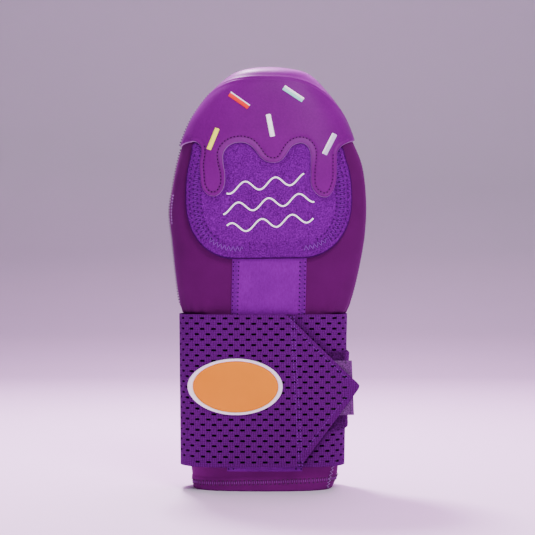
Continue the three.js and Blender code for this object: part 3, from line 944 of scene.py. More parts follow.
def strap_path(flat, outward, curled=True, spacing=0.8):
    """The same on the strap laid flat, where a path on the face of the free end curls with it."""
    flat = even(np.asarray(flat, float), spacing)
    height = outward + curled * curl(flat)
    points = on_strap(flat, height)
    return points, unit(points - on_strap(flat, height - 0.5))


# The body


def seam_groove(points, depth=1.0, wide=1.7):
    """How far the cloth is pulled in along the side seams."""
    return -depth * ridge(points[..., 1], 0, wide)


# How many gathers run round the body
GATHERS = 23


def body_relief(turn, level):
    """Soft relief of the padded body over its plain sections.

    It is gathered and stands proud over the strap's upper edge, and is lumpier on the palm.
    """
    points, _ = body_surface(turn, level)
    height = points[..., 2]
    # Gathers where the strap squeezes the cloth, which die out 7 mm over it
    squeezed = np.exp(-np.maximum(height - 107, 0) / 7) * smooth(100, 110, height)
    gathers = 0.45 * squeezed * np.sin(turn * GATHERS + 1.5 * np.sin(turn * 5))
    # Lumps of foam 26 mm across and smaller ones of 8 mm
    lumps = 0.45 * cloudy(points, 26.0) + 0.16 * cloudy(points, 8.0, 1)
    palm = smooth(0, 12, points[..., 1])
    # A roll that bulges over the strap's upper edge at the two sides
    over_strap = 1.5 * smooth(107.9, 108.6, height) * smooth(117, 109, height)
    over_strap = over_strap * smooth(30, 44, np.abs(points[..., 0]))
    return seam_groove(points) + gathers + lumps * (0.4 + 0.9 * palm) + over_strap


def under_strap(height):
    """Painted shade: nearly 1 where the strap covers the body, fading to 0 inside its upper edge and just
    past its lower one, as a painted shadow there.
    """
    return 0.9 * smooth(STRAP_LOW - 1.8, STRAP_LOW + 1.5, height) * smooth(STRAP_HIGH, STRAP_HIGH - 2, height)


# The padded halves: the turn that each starts from, and the node that it stands for
BODY_HALVES = (("padded_front", np.pi, "back_of_hand_panel"), ("padded_palm", 0, "palm_panel"))
HALF_COUNT, HALF_CROWDING = 150, 0.85

# Gaps over the cuff in millimetres, and at the side seams as a turn
CUFF_GAP, SEAM_GAP = 0.3, 1e-5


def half_shell(first_turn, last_turn, low_level):
    """One half of the body between two turns, finer towards its seams."""
    turns = first_turn + crowded(HALF_COUNT, HALF_CROWDING) * (last_turn - first_turn)
    turn, level = np.meshgrid(turns, np.linspace(low_level, TOP_LEVEL, HALF_COUNT))
    outer = body_point(turn, level, body_relief(turn, level))
    points, faces = grid_shell(outer, body_point(turn, level, np.full(turn.shape, -WALL)))
    # Painted shade where the strap covers the body
    return points, faces, {"covered": one_layer(under_strap(outer[..., 2]))}


def build_body():
    """The two padded halves."""
    cloth = shared(foam_backed_knit, "body_knit", settings()[1].body)
    low_level = level_at(CUFF_TOP + CUFF_GAP)
    for name, first, node in BODY_HALVES:
        points, faces, values = half_shell(first + SEAM_GAP, first + np.pi - SEAM_GAP, low_level)
        piece = make_piece(name, points, faces, cloth, [node], values=values)


# How much lighter the cuff's copy of the body's cloth is painted, as painted light in the strap's shadow
CUFF_PAINTED_LIGHT = 1.6
RIM_RADIUS, RIM_WALL = 1.1, 1.5


def build_cuff():
    """The cuff with its turned hem: the rim is rounded and the hem stands a little proud."""
    heights = CUFF_TOP * np.linspace(0, 1, 60) ** 1.6
    turns = np.linspace(0, 2 * np.pi, 260, endpoint=False)
    turn, height = np.meshgrid(turns, heights)
    level = level_at(height)
    points, _ = body_surface(turn, level)
    rounding = -RIM_RADIUS * (1 - rounded(height, RIM_RADIUS))
    hem = 0.45 * smooth(8.6, 7.4, height) + 0.10 * np.sin(turn * 31) * smooth(9, 5, height)
    stitched = -0.3 * ridge(height, hem_height(points[..., 0]), 0.7)
    outer = body_point(turn, level, rounding + hem + stitched + 0.15 * cloudy(points, 14.0, 2))
    inner = body_point(turn, level, np.full(turn.shape, -WALL))
    inner[0] = body_point(turn[0], level[0], np.full(len(turns), -RIM_WALL))
    outer[..., 2] = inner[..., 2] = height
    # Painted shade under the strap, and a painted shadow just below its lower edge
    values = {"covered": one_layer(under_strap(height))}
    # The cuff is the body's cloth, painted lighter as painted light
    tint = [c * CUFF_PAINTED_LIGHT for c in settings()[1].body]
    cloth = shared(foam_backed_knit, "cuff_knit", tint)
    piece = make_piece("turned_cuff", *ring_shell(outer, inner), cloth, ["wrist_cuff"], values=values)


def hem_height(across):
    """Height of the hem's stitching, which climbs a little to the right."""
    return 4.6 + 0.028 * (across + 45)


# The cap


def meridian():
    """Distance down the front from the fingertips' point to every fine level."""
    line = section_point(read_rows(BODY, FINE_LEVELS), np.full(len(FINE_LEVELS), -np.pi / 2))
    return running_length(line[::-1])[::-1]


MERIDIAN = meridian()


def to_disc(turn, level):
    """The body's top laid out as a disc round the fingertips' point."""
    radius = np.interp(level, FINE_LEVELS, MERIDIAN)
    return np.stack([radius * np.cos(turn), radius * np.sin(turn)], axis=-1)


def from_disc(flat):
    """The turns and levels of places on the disc."""
    radius = np.linalg.norm(flat, axis=-1)
    level = np.interp(radius, MERIDIAN[::-1], FINE_LEVELS[::-1])
    return np.arctan2(flat[..., 1], flat[..., 0]), level


# The cap's seam on the disc: over the sides at the left, and forward of the top and of the right shoulder
CAP_SEAM = np.array([
    (-70, 0), (-45, 0), (-32, -3), (-20, -9.5), (-8, -15.0), (2, -16.5), (12, -15.5), (22, -13.5), (33, -9.0),
    (44, -3.5), (56, 0), (70, 0),
], float)


def cap_seam():
    """The turns and levels that the cap's seam runs through."""
    return from_disc(read_rows(CAP_SEAM, np.linspace(0, len(CAP_SEAM) - 1, 400)))


def drip_edge():
    """The cap's front edge on the front view, from the left seam to the right one."""
    return trace_edge(DRIP_EDGE, DRIP_ROUNDNESS, DRIP_SPACING)


def patch_loop():
    """The patch's closed edge on the front view, anticlockwise."""
    edge = trace_edge(PATCH_EDGE, PATCH_ROUNDNESS, PATCH_SPACING)
    top = even(np.array([edge[-1], edge[0]]), PATCH_SPACING)[1:-1]
    return np.concatenate([edge, top])


def lift_at(height):
    """Thickness of the patch under the cap, which thins away towards the fingertips."""
    return 1.1 * smooth(238, 194, height)


def cap_lift(flat):
    """How far the patch below holds the cap off the body."""
    loop = patch_loop()
    far, _ = nearest(flat, loop)
    over = np.where(inside(flat, loop) | (flat[:, 1] > 215), far, -far)
    return lift_at(flat[:, 1]) * smooth(-1.6, 0.2, over) * smooth(0.98, 0.87, share_across(flat))


# How deep the lock stitches run inside the edge, how much deeper over the arches, and how far they sink in
STITCH_DEPTH, ARCH_DEPTH, STITCH_SUNK = 2.5, 1.2, 0.11


def stitch_depth(edge):
    """How far inside the cap's edge the lock stitches run: deeper over the arches between the drips."""
    return STITCH_DEPTH + ARCH_DEPTH * smooth(192, 208, edge[:, 1]) * smooth(34, 27, np.abs(edge[:, 0]))


# Rows of points inside the drip edge and over the rear edge, for the rolled edge and the stitches' groove
CAP_FRONT_ROWS = (0.15, 0.4, 0.8, 1.4, 2.0, 2.4, 2.8, 3.2, 3.7, 4.2)
CAP_BACK_ROWS = (0.2, 0.6, 1.2, 2.2)
CAP_LOW, CAP_SPACING = 176, 1.3
CAP_ROLL = 0.75

# How far the cap and the strip stand off the body
SEWN_GAP = 0.2


def cap_boundary(front_edge):
    """The turns and levels of the cap's whole edge: the drips in front, then the plain rear edge."""
    turn, level = front_place(front_edge)
    turn[0], turn[-1] = -np.pi, 0
    back_turn = np.linspace(0, np.pi, 180)[1:-1]
    back_height = np.interp(np.cos(back_turn), (-1, 1), (DRIP_EDGE[0][1], DRIP_EDGE[-1][1]))
    boundary = np.concatenate([turn, back_turn]), np.concatenate([level, level_at(back_height)])
    return *boundary, back_turn, back_height


def cap_triangles(front_edge, loop, back_turn, back_height):
    """The cap laid out on the disc, as places and triangles."""
    rows = inset_rows(front_edge[6:-6], CAP_FRONT_ROWS, closed=False)
    rows = [to_disc(*front_place(row)) for row in rows]
    rows += [to_disc(back_turn[2:-2], level_at(back_height[2:-2] + rise)) for rise in CAP_BACK_ROWS]
    taken = np.concatenate([loop, *rows])
    grid = []
    for level in np.arange(level_at(CAP_LOW), TOP_LEVEL - 0.02, 0.075):
        ring = section_point(read_rows(BODY, np.full(400, level)), np.linspace(0, 2 * np.pi, 400))
        count = max(8, int(running_length(ring)[-1] / CAP_SPACING))
        turns = np.linspace(0, 2 * np.pi, count, endpoint=False) + level * 3
        grid.append(to_disc(turns, np.full(count, level)))
    grid = np.concatenate(grid + [np.zeros((1, 2))])
    grid = grid[inside(grid, loop)]
    far, _ = nearest(body_surface(*from_disc(grid))[0], body_surface(*from_disc(taken))[0])
    places = np.concatenate([taken, grid[far > 0.85]])
    return triangulate(places, [(0, len(loop))], inside_only(loop))


def build_cap():
    """The leather cap, rolled at its cut edge, grooved along its stitches and raised over its seam."""
    sizes, colours = settings()
    front_edge = drip_edge()
    boundary_turn, boundary_level, back_turn, back_height = cap_boundary(front_edge)
    loop = to_disc(boundary_turn, boundary_level)
    boundary = body_surface(boundary_turn, boundary_level)[0]
    flat, triangles = cap_triangles(front_edge, loop, back_turn, back_height)
    turn, level = from_disc(flat)
    points, facing = body_surface(turn, level)

    edge, number = nearest(points, boundary)
    on_the_front = number < len(front_edge)
    sewn = stitch_depth(boundary[number][:, [0, 2]])
    groove = ridge(edge, sewn, 0.55) * on_the_front
    holes = 0.5 + 0.5 * np.cos(2 * np.pi * running_length(boundary)[number] / sizes.stitch_pitch)
    seam, _ = nearest(points, body_surface(*cap_seam())[0])
    height = sizes.cap_thick * (0.3 + 0.7 * rounded(edge, CAP_ROLL))
    height = height - groove * (0.25 + 0.2 * holes)
    height = height + 0.35 * ridge(seam, 0.6, 1.3) - 0.18 * ridge(seam, 0, 0.5)
    height = height + 0.22 * cloudy(points, 24.0, 3) * smooth(1, 6, edge)
    low = SEWN_GAP + np.where(points[:, 1] < 0, cap_lift(points[:, [0, 2]]), 0)
    top = points + facing * (low + height)[:, None]
    bottom = points + facing * low[:, None]

    leather = shared(coated_leather, "coated_leather", colours.cap, colours.cap_edge)
    # The margin over the arches, which gets the painted highlight
    puckered = smooth(sewn, sewn - 0.8, edge) * (sewn - STITCH_DEPTH) / ARCH_DEPTH * on_the_front
    values = {"edge_mm": np.tile(edge, 2), "puckered": np.tile(puckered, 2)}
    vertices, faces = thick_sheet(top, bottom, triangles)
    piece = make_piece("leather_cap", vertices, faces, leather, ["fingertip_cap"], values=values)
    # Laid flat, the cap runs 148 mm over the top from side to side, and 145 mm over the fingertips
    sew_cap(front_edge)


def cap_top(flat):
    """Height of the cap's face over the body at places on the front view."""
    return SEWN_GAP + cap_lift(flat) + settings()[0].cap_thick


def sew_cap(front_edge):
    """Lock stitches inside the cap's drip edge, and dark beads of painted shade for their needle holes."""
    sizes, colours = settings()
    thread = shared(spun_thread, "cap_thread", [c * 0.75 for c in colours.cap])
    # The needle holes are dark beads of painted shade, 0.15 of the cap's colour
    hole = shared(spun_thread, "needle_hole", [c * 0.15 for c in colours.cap], rough=0.9)
    sewn_edge = front_edge[4:-4]
    row = inset_rows(sewn_edge, [stitch_depth(sewn_edge)], closed=False)[0]
    # The stitches stop short of the side seams, and a needle hole comes half a stitch after each
    row = row[(np.abs(row[:, 0]) < 38) | (row[:, 1] < 204)]
    fine = 0.15
    later = even(row, fine)[round(sizes.stitch_pitch / 2 / fine):]

    def just_sunk(flat):
        return cap_top(flat) - STITCH_SUNK

    piece = sew_stitches(
        "cap_stitches", [surface_path(row, just_sunk)], (sizes.stitch_pitch, 1.05, 0.5, 0.5), thread)
    piece = sew_stitches(
        "cap_needle_holes", [surface_path(later, just_sunk)], (sizes.stitch_pitch, 1.05, 0.75, 0.5), hole)


def build_sprinkles():
    """Five bars of satin stitch, three of them with a white stripe along the upper side."""
    sizes, _ = settings()
    white = satin_thread("white")
    # A bar's thread stands 1.35 mm through, with its middle 0.22 mm over the cap's face
    for name, x, z, turned, white_share in SPRINKLES:
        lean = np.radians(turned)
        ahead = np.array([np.cos(lean), np.sin(lean)])
        aside = np.array([-np.sin(lean), np.cos(lean)])
        thread = satin_thread(name)
        bars = [("satin_" + name, 1 - white_share, -white_share / 2, thread, ["sprinkle_" + name])]
        if white_share:
            bars.append(("satin_stripe_" + name, white_share, (1 - white_share) / 2, white, []))
        for piece_name, share, offset, material, replaced in bars:
            middle = np.array([x, z]) + aside * offset * SPRINKLE_WIDTH
            ends = np.array([middle - ahead * SPRINKLE_HALF_LENGTH, middle + ahead * SPRINKLE_HALF_LENGTH])
            flat = even(ends, 0.8)
            size = (sizes.satin_pitch, 0.6, SPRINKLE_WIDTH * share + 0.25, 1.35)
            path = surface_path(flat, cap_top(flat) + 0.22)
            piece = sew_stitches(piece_name, [path], size, material, replaced)


# The plush patch and the centre strip

# Middle of the patch's band of zigzag, in from the edge. It leaves out the middle of the lower edge, between
# the left and right ends, is narrow and paler below its turn, and stops high up, under the cap.
ZIGZAG_IN = 6.2
ZIGZAG_LEFT, ZIGZAG_RIGHT, ZIGZAG_TURN, ZIGZAG_HIGH = -14.4, 21.2, 153.0, 211.0
NEEDLE_COLUMNS = (-3.3, -1.1, 1.1, 3.3)


# The patch's points: rows inside its edge, and the spacing of the rest
PATCH_ROWS, PATCH_GRID = (0.2, 0.5, 1.0, 1.6), 1.1

# How far its edge is rolled, how wide the zigzag dents it, and how far past the cap's edge it rises in full
PATCH_ROLL, DENT_WIDE, PATCH_RISE = 1.2, 3.2, 3.2


def patch_height(flat, edge):
    """Height of the pile over the body: crowned, rolled at its edge and pressed down under the cap."""
    thick = settings()[0].patch_thick
    drip = drip_edge()
    above_drips = [(90, 214), (90, 290), (-90, 290), (-90, 210)]
    region = np.concatenate([drip, above_drips])
    far, _ = nearest(flat, drip)
    clear = np.where(inside(flat, region), -far, far)
    pressed = smooth(0.0, PATCH_RISE, clear)
    full = thick * (0.55 + 0.45 * rounded(edge, PATCH_ROLL)) - 0.4 * ridge(edge, ZIGZAG_IN, DENT_WIDE)
    under = lift_at(flat[:, 1]) + 0.02
    return np.where(clear < -0.3, np.minimum(under, full), under + (full - under) * pressed)


# The patch's swelling: its height, where it ends under the cap, and the cloth that the simulation swells
PUFF = 0.9
FLAT_ABOVE, FULL_BELOW = 216, 196
CLOTH_SPACING, CLOTH_STEPS = 4.0, 20


@lru_cache
def puffed_cloth():
    """How far a cloth sheet sewn down at the patch's edge swells, by a short cloth simulation."""
    loop = patch_loop()
    coarse_loop = even(np.concatenate([loop, loop[:1]]), CLOTH_SPACING)[:-1]
    places = np.concatenate([coarse_loop, fill_grid(coarse_loop, coarse_loop, CLOTH_SPACING)])
    sheet, triangles = triangulate(places, [(0, len(coarse_loop))], inside_only(coarse_loop))
    mesh = bpy.data.meshes.new("patch_cloth")
    mesh.from_pydata([(x * MM, 0, z * MM) for x, z in sheet], [], triangles.tolist())
    cloth_sheet = place_object("patch_cloth", mesh)
    far, _ = nearest(sheet, coarse_loop)
    pins = cloth_sheet.vertex_groups.new(name="sewn")
    pins.add([int(k) for k in np.flatnonzero(far < 1.0)], 1.0, "REPLACE")
    cloth = cloth_sheet.modifiers.new("cloth", "CLOTH")
    cloth.settings.vertex_group_mass = "sewn"
    cloth.settings.quality = 5
    cloth.settings.tension_stiffness = 20
    cloth.settings.use_pressure = True
    cloth.settings.uniform_pressure_force = 4
    cloth.settings.effector_weights.gravity = 0
    scene = bpy.context.scene
    for step in range(CLOTH_STEPS):
        scene.frame_set(step + 1)
    evaluated = cloth_sheet.evaluated_get(bpy.context.evaluated_depsgraph_get())
    swell = np.abs(np.array([v.co.y for v in evaluated.data.vertices])) / MM
    scene.frame_set(1)
    bpy.data.objects.remove(cloth_sheet)
    return sheet, swell / max(swell.max(), 1e-6)


def puff_height(flat):
    """Extra height of the stuffed patch at places on the front view."""
    sheet, swell = puffed_cloth()
    tree = search_tree(sheet)
    out = np.zeros(len(flat))
    for k, place in enumerate(flat):
        # The four nearest points of the cloth count the more, the nearer they are
        found = tree.find_n((*place, 0), 4)
        weight = np.array([1 / (f[2] + 0.4) ** 2 for f in found])
        out[k] = (weight * swell[[f[1] for f in found]]).sum() / weight.sum()
    return PUFF * out * smooth(FLAT_ABOVE, FULL_BELOW, flat[:, 1])


def patch_top(flat):
    """Height of the pile's face over the body, and how far in from the patch's edge each place is."""
    edge, _ = nearest(flat, patch_loop())
    return patch_height(flat, edge) + puff_height(flat), edge


def build_patch():
    """The plush patch, which swells over its stuffing and thins away under the cap."""
    _, colours = settings()
    loop = patch_loop()
    taken = np.concatenate([loop, *inset_rows(loop, PATCH_ROWS)])
    places = np.concatenate([taken, fill_grid(loop, taken, PATCH_GRID)])
    flat, triangles = triangulate(places, [(0, len(loop))], inside_only(loop))
    height, edge = patch_top(flat)
    turn, level = front_place(flat)
    points, facing = body_surface(turn, level)
    # Tufts of 2.2 and 1.2 mm, which fade where the patch is thin
    nap = 0.16 * cloudy(points, 2.2, 4) + 0.10 * cloudy(points, 1.2, 5)
    nap = nap * smooth(1.0, 2.0, height)
    # The lower edge lies over the end of the strip
    over_strip = smooth(4, 0, flat[:, 1] - 140) * smooth(27, 24, np.abs(flat[:, 0] - 1))
    low = 0.08 + 1.0 * over_strip
    top = points + facing * (np.maximum(height, low + 0.2) + nap)[:, None]
    bottom = points + facing * low[:, None]
    pile = shared(plush_pile, "plush_pile", colours.patch, sewn=True)
    values = {"edge_mm": np.tile(edge, 2)}
    vertices, faces = thick_sheet(top, bottom, triangles)
    piece = make_piece("plush_pad", vertices, faces, pile, ["plush_patch"], sharp=80, values=values)
    sew_patch(loop)


def sew_patch(loop):
    """The wide zigzag inside the patch's sides and lower corners, and dark beads of painted shade for its
    needle holes.
    """
    pitch = settings()[0].zigzag_pitch

    def two_sides(depth, lift, low, high):
        row = inset_rows(loop, [depth])[0]
        row = row[(row[:, 1] > low) & (row[:, 1] < high)]
        lines = []
        for side in (row[row[:, 0] < ZIGZAG_LEFT], row[row[:, 0] > ZIGZAG_RIGHT]):
            line = even(side, 0.8)
            lines.append(surface_path(line, patch_top(line)[0] + lift))
        return lines

    paths = two_sides(ZIGZAG_IN, 0.06, ZIGZAG_TURN, ZIGZAG_HIGH)
    piece = sew_zigzag("patch_zigzag", paths, (pitch, 6.0, 0.42, 0.1), sewing_thread("pale_thread"))
    paths = two_sides(ZIGZAG_IN, 0.08, 0, ZIGZAG_TURN)
    worn = sewing_thread("worn_pale_thread")
    piece = sew_zigzag("patch_corner_zigzag", paths, (pitch, 3.0, 0.36, 0.25), worn)
    # The needle holes are dark beads of painted shade
    holes = []
    for column in NEEDLE_COLUMNS:
        holes += two_sides(ZIGZAG_IN + column, 0.15, ZIGZAG_TURN, ZIGZAG_HIGH)
    piece = sew_stitches("patch_needle_holes", holes, (2 * pitch, 1.1, 1.1, 0.5), sewing_thread("pile_hole"))


# The strip's ends: height, and where its sides are; then the height over which its sides are sewn
STRIP_TOP, STRIP_FOOT = (141.6, -21.1, 23.5), (12.4, -24.4, 21.0)
STRIP_SEWN = (139.0, 14.0)


def strip_sides(height):
    """Where the strip's left and right sides are at a height."""
    share = (np.asarray(height, float) - STRIP_FOOT[0]) / (STRIP_TOP[0] - STRIP_FOOT[0])
    return [foot + share * (top - foot) for foot, top in zip(STRIP_FOOT[1:], STRIP_TOP[1:])]


def build_strip():
    """The centre strip, puckered along the rows that hold its sides."""
    sizes, colours = settings()
    across, height = np.meshgrid(crowded(60, 0.8), np.linspace(STRIP_FOOT[0], STRIP_TOP[0], 130))
    left, right = strip_sides(height)
    flat = np.stack([left + across * (right - left), height], axis=-1)
    edge = np.minimum(flat[..., 0] - left, right - flat[..., 0])
    edge = np.minimum(edge, height - STRIP_FOOT[0])
    puckers = 0.12 * np.sin(height * 2 * np.pi / 3.2) * ridge(edge, 2.2, 1.2) - 0.18 * ridge(edge, 2.2, 1.0)
    thick = sizes.strip_thick * (0.35 + 0.65 * rounded(edge, 0.7)) + puckers
    points, facing = body_surface(*front_place(flat))
    top = points + facing * (SEWN_GAP + thick)[..., None]
    bottom = points + facing * 0.15
    cloth = shared(brushed_loop, "brushed_loop", colours.strip)
    piece = make_piece("loop_strip", *grid_shell(top, bottom), cloth, ["centre_strip"])
    sew_strip()


def sew_strip():
    """A zigzag inside each side of the strip, between two rows of needle holes drawn as dark beads of painted
    shade.
    """
    sizes, _ = settings()
    face = SEWN_GAP + sizes.strip_thick

    def beside(side, inward, outward):
        line = np.array([(strip_sides(z)[side] + inward, z) for z in STRIP_SEWN])
        return surface_path(line, outward)

    paths = [beside(side, inward, face + 0.05) for side, inward in ((0, 2.3), (1, -2.3))]
    thread = sewing_thread("strip_thread")
    piece = sew_zigzag("strip_zigzag", paths, (sizes.zigzag_pitch, 3.2, 0.42, 0.1), thread)
    # The needle holes are dark beads of painted shade
    holes = [beside(side, inward, face) for side, inward in ((0, 0.8), (0, 3.9), (1, -0.8), (1, -3.9))]
    dark = sewing_thread("dark_thread")
    piece = sew_stitches("strip_needle_holes", holes, (2 * sizes.zigzag_pitch, 1.0, 0.9, 0.6), dark)


# The strap


STRAP_SPACING = 1.6


def strap_loop():
    """The strap's outline laid flat, anticlockwise; along is 0 in the middle of the front."""
    lower = np.concatenate([[(-RING_LENGTH, STRAP_LOW)], POINTED_END[:, [0, 1]]])
    upper = POINTED_END[::-1][:, [0, 2]]
    corners = np.concatenate([lower, upper, [(-RING_LENGTH, STRAP_HIGH)], lower[:1]])
    return even(corners, STRAP_SPACING)[:-1]


# Corners of one rounded slot; where the slots start at the right and end, and the highest row of them
SLOT_ANGLES = (0, 35, 62, 118, 145, 180, 215, 242, 298, 325)
SLOTS_FROM, SLOTS_END, SLOTS_TOP = 2.05, 47.0, 105.2

# The strap's lower corners stand past the cuff, with nothing behind them: from how far out, and up to what
# height, at the back and in front
CORNER_BEHIND, CORNER_IN_FRONT = (43, 22), (46, 20.5)
SLOT_MARGIN = 1.75


def flap_cover():
    """What the second turn and the pointed end cover of the first turn, on the front view."""
    low, high = STRAP_LOW + 2, STRAP_HIGH - 2
    lower = POINTED_END[1:4, [0, 1]] + (-3, 3)
    upper = POINTED_END[3:0:-1][:, [0, 2]] - 3
    return np.array([(-60, low), (9, low), *lower, *upper, (9, high), (-60, high)], float)


def slot_places():
    """Middles of the slots: staggered rows that keep off the edges, the point and the two lower corners."""
    sizes, _ = settings()
    loop = strap_loop()
    places = []
    # More slots than a row holds; those off the band are dropped
    number = np.arange(-60, 10)
    for row in range(int((STRAP_HIGH - STRAP_LOW) / sizes.row_pitch)):
        height = SLOTS_TOP - row * sizes.row_pitch
        first = SLOTS_FROM + row % 2 * sizes.slot_pitch / 2
        places.append(np.stack([first + number * sizes.slot_pitch, 0 * number + height], axis=1))
    places = np.concatenate(places)
    places = places[inside(places, loop)]
    far, _ = nearest(places, even(np.concatenate([loop, loop[:1]]), 0.4))
    spots = on_strap(places, 0.0)
    outer, low = np.abs(spots[:, 0]), places[:, 1]
    behind = (outer > CORNER_BEHIND[0]) & (low < CORNER_BEHIND[1]) & (spots[:, 1] > 0)
    past_cuff = behind | ((outer > CORNER_IN_FRONT[0]) & (low < CORNER_IN_FRONT[1]))
    return places[(far > SLOT_MARGIN) & (places[:, 0] < SLOTS_END) & ~past_cuff]


CURL_HEIGHT, CURL_WIDE = 0.8, 3.5


def curl(flat):
    """How far the slanting edges of the free end curl off the turn below."""
    slants = [even(POINTED_END[:, [0, column]], 0.5) for column in (1, 2)]
    far, _ = nearest(flat, np.concatenate(slants))
    return CURL_HEIGHT * smooth(CURL_WIDE, 0, far) * smooth(8, 14, flat[:, 0])


def build_strap():
    """The perforated band, with painted shade where the second turn or the pointed end covers the first, a
    painted shadow beside them, and painted shade on its slots' walls.
    """
    sizes, colours = settings()
    loop, places = strap_loop(), slot_places()
    half_wide, half_tall = sizes.slot_wide / 2, sizes.slot_tall / 2
    angles = np.radians(SLOT_ANGLES)
    around = np.stack([
        np.sign(np.cos(angles)) * np.abs(np.cos(angles)) ** 0.5 * half_wide,
        np.sign(np.sin(angles)) * np.abs(np.sin(angles)) ** 0.6 * half_tall,
    ], axis=1)
    slots = (places[:, None, :] + around[None]).reshape(-1, 2)
    between = places + np.array([sizes.slot_pitch / 2, 0])
    between = between[inside(between, loop)]
    far, _ = nearest(between, loop)
    points = np.concatenate([loop, slots, between[far > 1.2]])
    count = len(angles)
    loops = [(0, len(loop))] + [(len(loop) + k * count, count) for k in range(len(places))]

    def off_slot(spots):
        _, number = nearest(spots, places)
        apart = np.abs(spots - places[number]) / (half_wide, half_tall)
        return (apart**3).sum(axis=1)

    def solid(middles):
        return inside(middles, loop) & (off_slot(middles) > 0.9)

    flat, triangles = triangulate(points, loops, solid)
    pull = 0.06 * cloudy(np.stack([flat[:, 0], 0 * flat[:, 0], flat[:, 1]], axis=1), 9.0, 6)
    lifted = curl(flat)
    top = on_strap(flat, STRAP_THICK - 0.1 + pull + lifted)
    bottom = on_strap(flat, lifted)
    # Painted shade on the slots' walls, and on the first turn under the flap, with a painted shadow fading
    # out 11 mm beside the flap's outline
    wall = off_slot(flat) < 1.2
    spots = on_strap(flat, 0.0)
    first_turn = (flat[:, 0] < -RING_LENGTH / 2) & (spots[:, 1] < 0)
    cover = flap_cover()
    beside, _ = nearest(spots[:, [0, 2]], even(np.concatenate([cover, cover[:1]]), 0.8))
    flap_shade = np.where(inside(spots[:, [0, 2]], cover), 1, 0.45 * smooth(11, 2, beside)) * first_turn
    values = {"covered": np.concatenate([flap_shade, np.maximum(wall, flap_shade)])}
    cloth = shared(elastic_knit, "elastic_knit", colours.strap)
    vertices, faces = thick_sheet(top, bottom, triangles)
    piece = make_piece("perforated_strap", vertices, faces, cloth, ["wrist_strap"], sharp=40, values=values)
    lay_flat(piece, faces, np.tile(flat, (2, 1)))
    sew_strap()


def lay_flat(piece, faces, flat):
    """A map of the band laid flat, in metres, for its knit."""
    used = np.unique(np.concatenate([np.asarray(f) for f in faces]))
    layer = piece.data.uv_layers.new(name="laid_flat")
    corners = np.zeros(len(piece.data.loops), np.int32)
    piece.data.loops.foreach_get("vertex_index", corners)
    layer.data.foreach_set("uv", (flat[used][corners] * MM).astype(np.float32).ravel())


POINT_ROWS = (((16.0, 100.6), (24.0, 91.6), (47.5, 69.3)), ((23.5, 26.8), (30.0, 36.0), (47.5, 57.8)))
POINT_SEAM = ((14.0, 106.0), (19.0, 17.0))


def sew_strap():
    """The folded point's seam and the rows inside its slanting edges."""
    thread = sewing_thread("strap_thread")
    face = STRAP_THICK - 0.12
    paths = [strap_path(line, face) for line in POINT_ROWS]
    piece = sew_stitches("point_edge_stitches", paths, (1.9, 1.2, 0.4, 0.34), thread)
    seam = [strap_path(np.array(POINT_SEAM) + (beside, 0), face) for beside in (0, 1.9)]
    piece = sew_stitches("point_seam_stitches", seam, (1.9, 1.3, 0.4, 0.36), thread)


# The closure


# The tape's ends along the strap, its lower and upper edge, and how far its end slants
HOOK_TAPE = (34.0, 51.0, 46.6, 79.6)
TAPE_SLANT = 1.4

# Its lower and upper face over the turn below, how far its edge is rolled down, and over what width
TAPE_LOW, TAPE_HIGH, TAPE_ROLL, TAPE_ROLL_WIDE = 0.9, 1.5, 0.3, 0.5

# The pad's ends round the ring, and its lower and upper edge
LOOP_PAD = (np.radians(306), np.radians(387), 37.6, 84.8)
PAD_CORNER, PAD_ROLL, PAD_RADIUS = 4.0, 1.4, 30


def build_hook_tape():
    """The hook tape under the pointed end, with painted shade where the point hides it, and its rows of
    hooks.
    """
    _, colours = settings()
    first, last, low, high = HOOK_TAPE
    share, height = np.meshgrid(np.linspace(0, 1, 24), np.linspace(low, high, 40))
    end = last + TAPE_SLANT * (high - height) / (high - low)
    along = first + share * (end - first)
    flat = np.stack([along, height], axis=-1)
    edge = np.minimum(np.minimum(along - first, end - along), np.minimum(height - low, high - height))
    base = -STRAP_LAYER
    ripple = np.minimum(0.15 * np.sin(height / 5.0 + along / 9.0), 0)
    top = on_strap(flat, base + TAPE_HIGH - TAPE_ROLL * (1 - rounded(edge, TAPE_ROLL_WIDE)) + ripple)
    bottom = on_strap(flat, base + TAPE_LOW + ripple)
    nylon = shared(moulded_nylon, "moulded_nylon", colours.hook)
    lower_edge, upper_edge = (np.interp(along, POINTED_END[:, 0], POINTED_END[:, side]) for side in (1, 2))
    # Painted shade where the pointed end covers the tape
    point_shade = smooth(0.5, 1.5, np.minimum(height - lower_edge, upper_edge - height))
    values = {"covered": np.tile(point_shade.ravel(), 2)}
    piece = make_piece("nylon_tape", *grid_shell(top, bottom), nylon, ["hook_tape"], values=values)
    lines = [
        strap_path(np.array([(x, low + 1), (x, high - 1)]), base + 0.7, curled=False)
        for x in np.arange(first + 1, last, 1.5)
    ]
    piece = sew_stitches("tape_hooks", lines, (1.4, 0.35, 0.5, 1.0), nylon)


